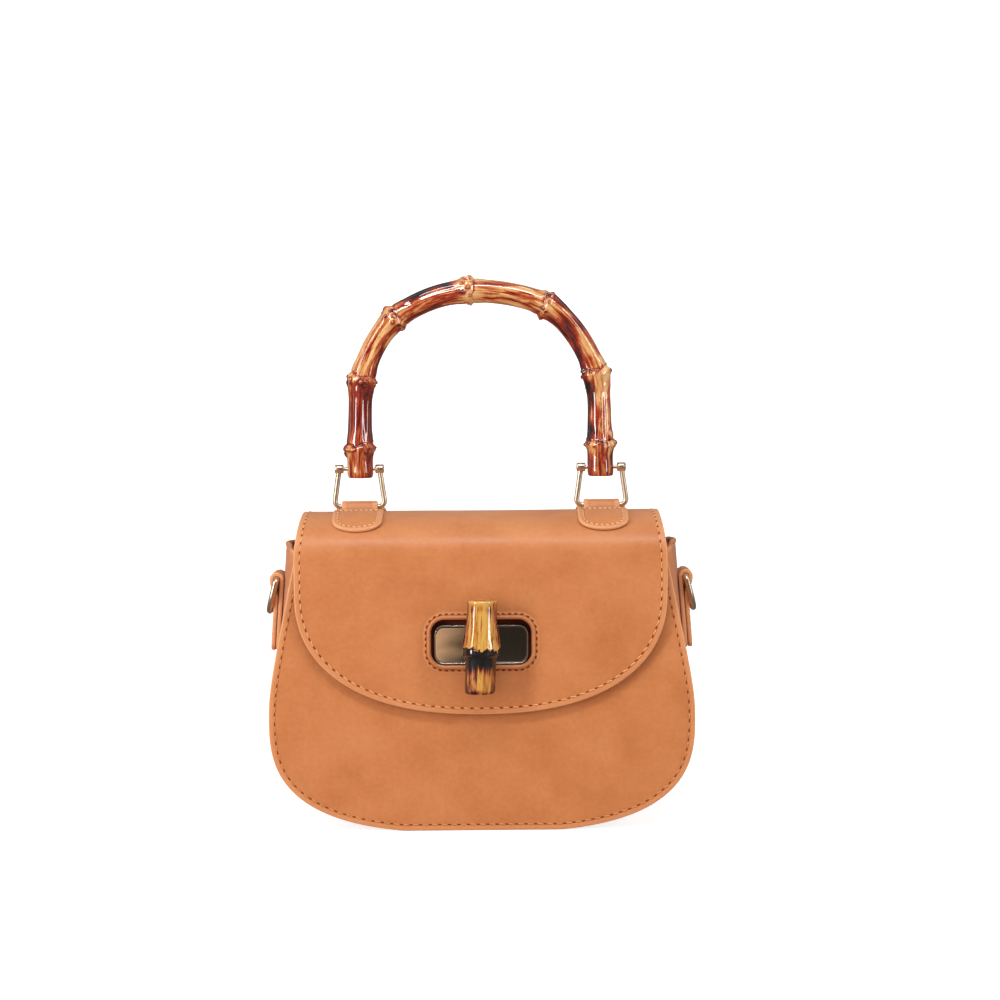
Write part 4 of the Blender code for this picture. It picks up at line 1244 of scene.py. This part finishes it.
def handle_curve():
    """(x, z) points of the handle's middle line: two straight legs and an arch."""
    turn = np.linspace(0, math.pi, 601)[1:-1]
    cosine = np.cos(turn)
    x = -np.sign(cosine) * np.abs(cosine) ** (2 / handle_arch_exponent) * handle_half_span
    z = handle_arch_height + handle_arch_rise * np.sin(turn) ** (2 / handle_arch_exponent)
    leg = [(handle_half_span, handle_arch_height), (handle_half_span, -handle_leg_drop)]
    return np.array([*((-x, z) for x, z in reversed(leg)), *zip(x, z), *leg])


all_round = 400
handle_patches = [
    (-0.05, 0.052, 0, all_round, 0.27), (0.060, 0.184, 0, all_round, 0.42),
    (0.190, 0.322, 0, all_round, 0.10), (0.332, 0.470, 0, all_round, 0.22),
    (0.490, 0.632, 0, all_round, 0.06), (0.642, 0.798, 0, all_round, 0.16),
    (0.808, 0.935, 0, all_round, 0.08), (0.945, 1.05, 0, all_round, 0.24),
    (-0.05, 0.050, 128, 16, 0.26), (-0.05, 0.050, 52, 12, 0.24), (-0.05, 0.050, 15, 22, -0.20),
    (0.130, 0.185, 15, 30, -0.08), (0.062, 0.140, 2, 32, 0.62), (0.066, 0.185, 72, 13, 0.14),
    (0.070, 0.186, 142, 34, 0.26), (0.062, 0.120, 98, 13, -0.10),
    (0.188, 0.264, 162, 36, 0.60), (0.205, 0.310, 70, 8, 0.14), (0.220, 0.320, 112, 7, 0.16),
    (0.335, 0.446, 8, 32, 0.80), (0.340, 0.465, 48, 16, 0.26), (0.345, 0.470, 112, 20, 0.20),
    (0.335, 0.420, 150, 18, 0.22), (0.500, 0.620, 38, 8, 0.36), (0.515, 0.612, 66, 5, 0.26),
    (0.505, 0.630, 128, 6, 0.30), (0.530, 0.640, 96, 4, 0.22),
    (0.640, 0.722, 6, 34, 0.90), (0.652, 0.800, 132, 32, 0.46), (0.700, 0.800, 172, 30, 0.36),
    (0.655, 0.700, 90, 14, 0.20), (0.806, 0.936, 164, 34, 0.70), (0.812, 0.930, 116, 20, 0.34),
    (0.900, 0.985, 2, 24, 0.70), (0.950, 1.05, 12, 24, 0.42), (0.950, 1.05, 160, 22, 0.20),
]
handle_furrows = (
    (0.062, 0.184, 118), (0.192, 0.322, 84), (0.335, 0.476, 66), (0.488, 0.632, 140),
    (0.645, 0.798, 98), (0.808, 0.936, 62),
)


def handle_middle(line, lengths, along, knots):
    """The handle's middle line at each station, a little crooked from knot to knot, and its run."""
    corners = [0.0, *knots, lengths[-1]]
    axes = []
    for axis in line.T:
        curved = np.interp(along, lengths, axis)
        straight = np.interp(along, corners, np.interp(corners, lengths, axis))
        axes.append(curved + (straight - curved) * handle_crook)
    x, z = axes
    kernel = np.hanning(15) / np.hanning(15).sum()
    inner = (along > 0.012) & (along < lengths[-1] - 0.012)
    x, z = (
        np.where(inner, np.convolve(np.pad(axis, 7, "edge"), kernel, "valid"), axis)
        for axis in (x, z)
    )
    tangent = np.stack([np.gradient(x, along), np.gradient(z, along)], axis=1)
    tangent /= np.hypot(*tangent.T)[:, None]
    z = z + 0.0004 * np.clip(z / handle_arch_height - 1, 0, 1)
    return np.stack([x, np.full(len(x), setback), pin_height + z], axis=1), tangent


def handle_piece():
    """The handle's cane, with its knots, root scars, furrows and stains."""
    line = handle_curve()
    lengths = run_lengths(line)
    length = lengths[-1]
    knots = [length * share for share in knot_shares]
    along = stations_of(length, knots, 0.0004, 0.0016)
    centres, tangent = handle_middle(line, lengths, along, knots)
    outwards = np.stack([-tangent[:, 1], np.zeros(len(along)), tangent[:, 0]], axis=1)
    fronts = np.tile((0.0, -1.0, 0.0), (len(along), 1))

    def past_knot(grid_along, turn, number):
        """How far a place is past a knot's ragged line, away from the nearer foot."""
        way = 1 if knots[number] < length / 2 else -1
        return (grid_along - knots[number] - knot_wander * ring_wave(turn, 40 + number)) * way

    def knobs(grid_along, turn):
        total = np.zeros_like(grid_along)
        for number, knot in enumerate(knots):
            for row, count, shift in ((0, 9, 0.0006), (50, 7, -0.0016)):
                seed = 11 + number + row
                total = np.maximum(total, scars(grid_along, turn, knot + shift, seed, count))
        return total

    def relief(grid_along, turn):
        from_foot = np.minimum(grid_along, length - grid_along)
        foot = np.maximum(0.0, 1 - from_foot / handle_foot_length)
        radius = handle_radius * cane_share + (handle_foot_radius - handle_radius) * foot
        for number, rise in enumerate(knot_rises):
            away = past_knot(grid_along, turn, number)
            outer = number in (0, len(knots) - 1)
            before = swell_before_end_knot if outer else swell_before_knot
            spread = np.where(away > 0, swell_past_knot, before)
            spread = spread * (1 + 0.40 * ring_wave(turn, 70 + number, (1, 2, 3)))
            swell = 0.72 * bell(away, spread, 1.7)
            ridge = 0.20 * bell(away, 0.0011) - 0.26 * bell(away - groove_from_knot, 0.0007)
            uneven = 1 + 0.22 * ring_wave(turn, 90 + number, (1, 2))
            radius = radius + rise * uneven * (swell + ridge)
        for start, end, at in handle_furrows:
            middle, half = (start + end) / 2 * length, (end - start) / 2 * length
            across = bell(angle_gap(np.degrees(turn), at, 360), 17)
            radius = radius - furrow_depth * bell(grid_along - middle, half, 6) * across
        flutes = 0.00009 * ring_wave(turn + grid_along * 6, 5, (3, 5, 8))
        slow = 0.00026 * np.sin(grid_along * 95 + 1) * np.sin(turn + grid_along * 30)
        rounding = 0.0006 * np.clip(1 - from_foot / 0.0012, 0, 1) ** 2
        return radius + flutes + slow + knobs(grid_along, turn) - rounding

    def stain(grid_along, turn):
        total = 0.13 + patch_sum(grid_along / length, turn, handle_patches)
        for knot in knots:
            near = bell(grid_along - knot, 0.0040)
            total = total * (1 - 0.45 * near) + 0.06 * near
        return total

    def scar(grid_along, turn):
        total = np.clip(knobs(grid_along, turn) / scar_height, 0, 1)
        rims = 4 * total * (1 - total)
        cracks = np.zeros_like(total)
        for number in range(len(knots)):
            away = past_knot(grid_along, turn, number)
            cracks = np.maximum(cracks, bell(away - groove_from_knot, 0.00055))
        uneven = np.clip(ring_wave(turn, 77, (2, 3, 5)) + 0.55, 0, 1)
        return 1.25 * rims * rims + 1.2 * cracks * uneven

    piece = cane_piece(
        "handle_cane", centres, outwards, fronts, along, handle_radius, relief, stain, scar, 0.25
    )
    dress(piece, handle_bamboo, "handle", ["bamboo_handle"])


handle_piece()


def toggle_piece():
    """The lock's upright cane: a flared top with a ragged crown over its knot."""
    knot = toggle_length * toggle_knot_share
    along = stations_of(toggle_length, [knot], 0.00025, 0.0009)
    above = toggle_length / 2 - along
    centres = on_front(above * toggle_tilt, plate_height + above, toggle_reach)
    outwards = np.tile((1.0, 0.0, 0.0), (len(along), 1))
    fronts = np.tile((0.0, -math.cos(lean), math.sin(lean)), (len(along), 1))

    def crown(turn):
        jagged = crown_tooth * teeth(turn + 0.14 * ring_wave(turn, 9), 3, 19)
        return knot - 0.0008 + jagged + 0.0011 * ring_wave(turn, 8)

    def relief(grid_along, turn):
        edge = crown(turn)
        lip_end = knot + lip_length + 0.0004 * ring_wave(turn, 12, (2, 3, 5))
        flare = np.clip(grid_along / edge, 0, 1) ** 1.7
        curl = np.exp(-np.maximum(0, edge - grid_along) / 0.0006)
        upper = toggle_radius * toggle_neck_share + crown_flare * flare + 0.0003 * curl
        lip = toggle_radius + lip_rise
        lower = toggle_radius + 0.0006 * np.exp(-np.maximum(0, grid_along - lip_end) / 0.003)
        step = beyond(edge - grid_along, 0.00014)
        next_step = beyond(lip_end - grid_along, 0.00022)
        radius = upper * step + (lip * next_step + lower * (1 - next_step)) * (1 - step)
        flutes = 0.00011 * ring_wave(turn, 21, (3, 5, 7, 9))
        cut = 0.0006 * bell(grid_along, 0.0010)
        from_end = np.minimum(grid_along, toggle_length - grid_along)
        rounding = 0.0005 * np.clip(1 - from_end / 0.0008, 0, 1) ** 2
        return radius + flutes + cut - rounding

    def stain(grid_along, turn):
        edge = crown(turn)
        past = grid_along - knot
        # Painted shade: 0.36 * |cos(turn)| ** 5 darkens the cane towards its left and right sides as
        # seen from the front; the wave is random tone
        base = 0.19 + 0.16 * ring_wave(turn, 31) + 0.36 * np.abs(np.cos(turn)) ** 5
        base = base + 0.12 * beyond(past, 0.001)
        uneven = 0.0009 * ring_wave(turn, 32, (3, 5, 9))
        into = beyond(grid_along - edge - 0.0001, 0.00014)
        out_of = beyond(burnt_band_length + uneven - past, 0.0018)
        band = (1.0 - 0.30 * bell(past - 0.0024, 0.0013)) * into * out_of
        sides = bell(turn - 1.05, 0.20) + bell(turn - 2.20, 0.16)
        sides = sides + np.clip(ring_wave(turn, 36, (2, 3, 5)) - 0.3, 0, 1)
        under_rim = 0.55 * bell(grid_along - 0.0036 - uneven, 0.0019) * sides
        foot = 0.45 * bell(toggle_length - grid_along + uneven, 0.0013)
        rim = -0.24 * bell(grid_along, 0.0014)
        tips = -0.32 * np.exp(-np.maximum(0, edge - grid_along) / 0.0010) * (1 - into)
        return base + band + under_rim + foot + tips + rim

    def scar(grid_along, turn):
        return 0.35 * bell(grid_along - crown(turn) - 0.0004, 0.00026)

    piece = cane_piece(
        "toggle_cane", centres, outwards, fronts, along, toggle_radius, relief, stain, scar, 0.10
    )
    dress(piece, toggle_bamboo, "toggle", ["toggle_bamboo"])


toggle_piece()


# Handle tabs


def tab_line():
    """(y, z) points of a handle tab's middle layer, from its front end to its back end."""
    reach = flap_reach + seat_gap + tab_thickness / 2
    wrap = bar_radius + seat_gap + tab_thickness / 2
    level = crest_height + seat_gap + tab_thickness / 2
    fillet = 0.0015
    lift = level + fillet - bar_height
    foot_y = math.sqrt((wrap + fillet) ** 2 - lift**2)
    meet = math.atan2(lift, foot_y)
    half = arc((0, bar_height), wrap, math.pi / 2, math.pi - meet, 13)
    half += arc((-foot_y, level + fillet), fillet, -meet, -math.pi / 2, 9)[1:]
    half += [spot for spot in reversed(crest_line(reach)) if spot[0] < -foot_y - fillet]
    whole = half[::-1] + [(-y, z) for y, z in half[1:]]
    return [(y + setback, z) for y, z in whole]


def tab_half_width(distance, end):
    """Half the tab's width: narrow where it loops round the wire, then a round pad."""
    neck = eased(np.clip((distance - 0.0060) / 0.0035, 0, 1))
    width = tab_loop_half_width + (tab_pad_half_width - tab_loop_half_width) * neck
    share = np.clip((distance - end + tab_pad_half_width) / tab_pad_half_width, 0, 1)
    return np.where(share > 0, tab_pad_half_width * np.sqrt(1 - share**3.4), width)


def tab_lift(edge, across, along):
    """A tab's face: on the pad a raised round rim, then the sewn line and a flatter field."""
    on_pad = np.clip((np.abs(along) - 0.0085) / 0.003, 0, 1)
    rim = 0.00038 * bell(edge - 0.0011, 0.0007)
    field = 0.00015 * np.clip((edge - 0.004) / 0.004, 0, 1)
    return sewn_lift(edge, tab_press_inset, 0.00022) + on_pad * (rim + field)


def handle_tab(name, side):
    """One tab: a strip over the shackle's foot, with a sewn pad in front and behind."""
    place_from_end, length = along_line(tab_line(), side * tab_spacing / 2)

    def place(across, along, lift):
        return place_from_end(across, length / 2 - along, lift)

    end = min(tab_pad_end, length / 2)
    distance = end * np.sin(np.linspace(0, math.pi / 2, 80))
    pad = np.stack([tab_half_width(distance, end), distance], axis=1)
    pad = np.vstack([pad, (pad * (-1, 1))[::-1]])
    outline = respaced(np.vstack([pad, -pad[1:-1]]), 0.0011, True)
    face = tab_thickness / 2
    piece = leather_sheet(
        "handle_tab_%s_leather" % name, outline, place, tab_thickness, face, pitch=0.0016,
        rings=(*edge_rings[:5], 0.0013, 0.0019, 0.0025, 0.0031, 0.0037), lift=tab_lift,
    )
    dress(piece, leather, "flap", ["handle_tab_" + name])
    seam = inset(outline, tab_seam_inset)
    sewing = {"pitch": fine_pitch, "radius": tab_thread_radius, "spool": pale_thread}
    for label, way in (("front", 1), ("back", -1)):
        row = seam[seam[:, 1] * way > tab_row_start]
        row = row[np.argsort(np.arctan2(row[:, 1] * way - tab_pad_middle, row[:, 0]))]
        gaps = np.linalg.norm(np.diff(np.vstack([row, row[:1]]), axis=0), axis=1)
        row = np.roll(row, -int(np.argmax(gaps)) - 1, axis=0)
        cross = [(end * tab_bar_half_length, tab_bar_place * way) for end in (-1, 1)]
        rows = "tab_%s_%s" % (name, label)
        stitch_row(rows + "_stitches", row, place, face - 0.0001, "flap", **sewing)
        stitch_row(rows + "_bar_stitches", cross, place, face + 0.00022, "flap", **sewing)


for name, side in both_sides:
    handle_tab(name, side)


# Shackles and pins


def shackle_and_pin(name, side):
    """A bent wire with an eye at each end, and the pin through both eyes and the cane."""
    middle = side * tab_spacing / 2
    spots = (
        (-eye_half_spacing, shackle_rise), (-shackle_foot_half_width, 0),
        (shackle_foot_half_width, 0), (eye_half_spacing, shackle_rise),
    )
    path = rounded_path([(middle + x, setback, bar_height + z) for x, z in spots], shackle_bend)
    wire = tube_piece("shackle_%s_wire" % name, path, bar_radius, 24)
    dress(wire, gilt, name + "_shackle", ["shackle_" + name])
    barrel = [
        (eye_half_length, 0.0011), (eye_half_length, 0.0016),
        (eye_half_length - 0.00012, 0.0020), (eye_half_length - 0.0004, eye_radius),
    ]
    for number, way in enumerate((-1, 1)):
        centre = (middle + way * eye_half_spacing, setback, pin_height)
        eye = turned_piece("shackle_%s_eye_%d" % (name, number), centre, barrel, 32)
        dress(eye, gilt, name + "_shackle")
    half = eye_half_spacing + eye_half_length
    rod = [(half + 0.0001, 0.0004), (half + 0.0001, 0.0008), (half, pin_radius)]
    pin = turned_piece("pin_%s_rod" % name, (middle, setback, pin_height), rod)
    dress(pin, gilt, "handle", ["pin_" + name])


for name, side in both_sides:
    shackle_and_pin(name, side)


# Side tabs and rings


def side_tab_line():
    """(x, z) points of a side tab's middle layer: up the outside, over the bar and down."""
    wrap = ring_radius + seat_gap + side_tab_thickness / 2
    sewn = side_tab_thickness + seat_gap - wrap
    line = [(-wrap, height) for height in np.linspace(-side_tab_tail, 0, 12)]
    line += arc((0, 0), wrap, math.pi, 0, 17)[1:]
    for share in np.linspace(0, 1, 11)[1:]:
        line.append((wrap + (sewn - wrap) * eased(share), -sewn_below * share))
    return line + [(sewn, height) for height in np.linspace(-sewn_below, -side_tab_tail, 12)[1:]]


def side_tab(name, side):
    """A strip folded over the ring's straight bar and sewn to the gusset."""
    strip, length = along_line(side_tab_line())
    matrix = Matrix.Translation((side * side_bar[0], setback, side_bar[1]))
    matrix = matrix @ Matrix.Rotation(0 if side > 0 else math.pi, 4, "Z")
    matrix = np.array(matrix @ Matrix.Rotation(-side_slant, 4, "Y"))

    def place(across, along, lift):
        local = strip(across, along, lift)[..., [1, 0, 2]]
        return local @ matrix[:3, :3].T + matrix[:3, 3]

    half = side_tab_half_width
    box = [(-half, 0, 0), (half, 0, 0), (half, length, 0), (-half, length, 0)]
    box = rounded_path(box, 0.0035, True)
    outline = respaced([(point[0], point[1]) for point in box], 0.0014, True)
    face = side_tab_thickness / 2
    piece = leather_sheet(
        "side_tab_%s_leather" % name, outline, place, side_tab_thickness, face, pitch=0.002,
        rings=(*edge_rings[:5], 0.0014, 0.0019, 0.0024, 0.0029),
        lift=lambda edge, across, along: sewn_lift(edge, side_seam_inset, 0.00014),
    )
    dress(piece, leather, "body", ["side_tab_" + name])
    top = length - side_tab_tail + side_seam_height
    low = length - side_seam_from_end
    reach = half - side_seam_inset
    left = [(-reach, top), (-reach, low - 0.002), (-reach + 0.002, low)]
    right = [(-x, rise) for x, rise in reversed(left)]
    cross = [(-reach, top), (reach, top)]
    rows = (("stitches", left + right, face - 0.0001), ("bar_stitches", cross, face))
    for label, row, lift in rows:
        row_name = "side_tab_%s_%s" % (name, label)
        stitch_row(row_name, row, place, lift, "body", side_pitch, radius=side_thread_radius)


def side_ring(name, side):
    """A D-shaped wire ring: small corners at its straight bar and a round foot."""
    wide, drop = ring_half_width, -ring_drop
    corners = [(0, -wide, 0), (0, wide, 0), (0, wide, drop), (0, -wide, drop)]
    top = rounded_path(corners, 2 * ring_radius, True, 10)
    foot = rounded_path(corners, wide * 0.95, True, 18)
    matrix = Matrix.Translation((side * side_bar[0], setback, side_bar[1]))
    matrix = matrix @ Matrix.Rotation(-side * ring_hang, 4, "Y")
    path = [matrix @ point for point in [*top[:22], *foot[38:]]]
    ring = tube_piece("ring_%s_wire" % name, path, ring_wire_radius, 24, True, up=(1, 0, 0))
    dress(ring, gilt, name + "_ring", ["dring_" + name])


for name, side in both_sides:
    side_tab(name, side)
    side_ring(name, side)


# Metal and board of the model itself

finishes = {
    "lock_backing": zinc, "lock_spring": zinc, "toggle_screw": zinc, "lock_shaft": gilt,
    "front_board": card, "back_board": card, "base_board": card, "flap_board": card,
}
for node, material in finishes.items():
    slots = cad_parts[node].material_slots
    for number in range(len(slots)):
        slots[number].link = "OBJECT"
        slots[number].material = material


# Floor, light and camera


def floor():
    """A wide pale floor that turns up into a backdrop.

    The camera sees it fade to plain white; polished metal sees a dim room in front of the bag.
    """
    wide, bend = 3.0, 0.8
    line = [(-wide, 0), *arc((1.2, bend), bend, -math.pi / 2, 0, 13), (1.2 + bend, wide)]
    points = [(side * wide, y, z) for y, z in line for side in (-1, 1)]
    piece = mesh_piece("floor", points, grid_faces(len(line), 2))
    nodes = new_material("pale_floor", Roughness=0.9)
    spot = nodes.own_place()
    x, y = (nodes.add("SeparateXYZ", axis, {0: spot}) for axis in ("X", "Y"))
    seen, glossy = nodes.rays()
    front = nodes.ramp(nodes.times(y, -0.5), [(0.40, 0.0), (0.52, 1.0)])
    dim = nodes.times(front, nodes.math("SUBTRACT", 1.0, seen))
    dim = nodes.math("MAXIMUM", dim, glossy)
    pale = nodes.ramp(nodes.noise(spot, 3, 2), [(0.3, 0.52), (0.7, 0.54)])
    diffuse = nodes.add("LightPath", "Is Diffuse Ray", {})
    warm = nodes.mix(diffuse, pale, (0.64, 0.44, 0.35))
    away = nodes.add("VectorMath", "Value", {0: spot}, operation="LENGTH")
    far = nodes.ramp(away, [(0.22, 0.0), (0.60, 1.0)])
    haze = nodes.times(nodes.noise(spot, (22, 5, 1), 3), 0.06)
    sideways = nodes.plus(x, 0.5, haze)
    room = nodes.ramp(sideways, [(0.452, (0.66, 0.48, 0.33)), (0.498, (0.004, 0.003, 0.002))])
    room = nodes.mix(front, (0.13, 0.12, 0.11), room)
    room = nodes.mix(glossy, (0.0, 0.0, 0.0), room)
    glow = nodes.times(seen, nodes.plus(0.82, nodes.times(far, 0.18)))
    nodes.to_shader(
        Base_Color=nodes.mix(dim, warm, (0.02, 0.02, 0.02)),
        Emission_Color=nodes.mix(seen, room, (1.0, 1.0, 1.0)),
        Emission_Strength=nodes.math("MAXIMUM", glow, glossy),
    )
    piece.data.materials.append(nodes.owner)


floor()


def lamp(name, place, target, size, power, colour=(1.0, 1.0, 1.0)):
    light = bpy.data.lights.new(name, "AREA")
    light.color = colour
    light.shape = "RECTANGLE"
    light.size, light.size_y = size
    light.energy = power
    made = add_object(name, light)
    made.location = place
    direction = Vector(target) - Vector(place)
    made.rotation_euler = direction.to_track_quat("-Z", "Y").to_euler()


lamp("left_softbox", (-0.84, -0.66, 0.46), (0, 0, 0.22), (0.15, 1.0), 8.4)
lamp("right_softbox", (1.00, -0.66, 0.46), (0, 0, 0.22), (0.14, 1.0), 4.6)
lamp("top_softbox", (0.0, -0.62, 1.12), (0, 0, 0.12), (0.9, 0.12), 7.1, (0.95, 1.02, 1.10))


def studio():
    """The world: white to the camera, a dim room in front to metal, soft fill to the rest."""
    world = bpy.data.worlds.new("studio")
    bpy.context.scene.world = world
    nodes = Nodes(world, "Background")
    seen, glossy = nodes.rays()
    direction = nodes.add("TexCoord", "Generated", {})
    depth = nodes.add("SeparateXYZ", "Y", {0: direction})
    behind = nodes.add("MapRange", "Result", {"Value": depth, "From Min": -0.60, "From Max": 0.45})
    room = nodes.mix(behind, (0.050, 0.040, 0.034), (0.62, 0.60, 0.58))
    fill = nodes.mix(behind, (0.43, 0.43, 0.43), (0.82, 0.82, 0.82))
    fill = nodes.mix(glossy, fill, room)
    nodes.to_shader(Color=nodes.mix(seen, fill, (1.0, 1.0, 1.0)))


studio()

camera_place = (0.0098, -0.975, 0.227)
camera_tilt = math.radians(90 - 3.85)
camera_roll = math.radians(-0.5)
camera = bpy.data.cameras.new("camera")
camera.sensor_width = 36
camera.lens = 70.3
camera_object = add_object("camera", camera)
camera_object.matrix_world = (
    Matrix.Translation(camera_place)
    @ Matrix.Rotation(camera_tilt, 4, "X")
    @ Matrix.Rotation(camera_roll, 4, "Z")
)
bpy.context.scene.camera = camera_object
bpy.context.scene.view_settings.view_transform = "Standard"
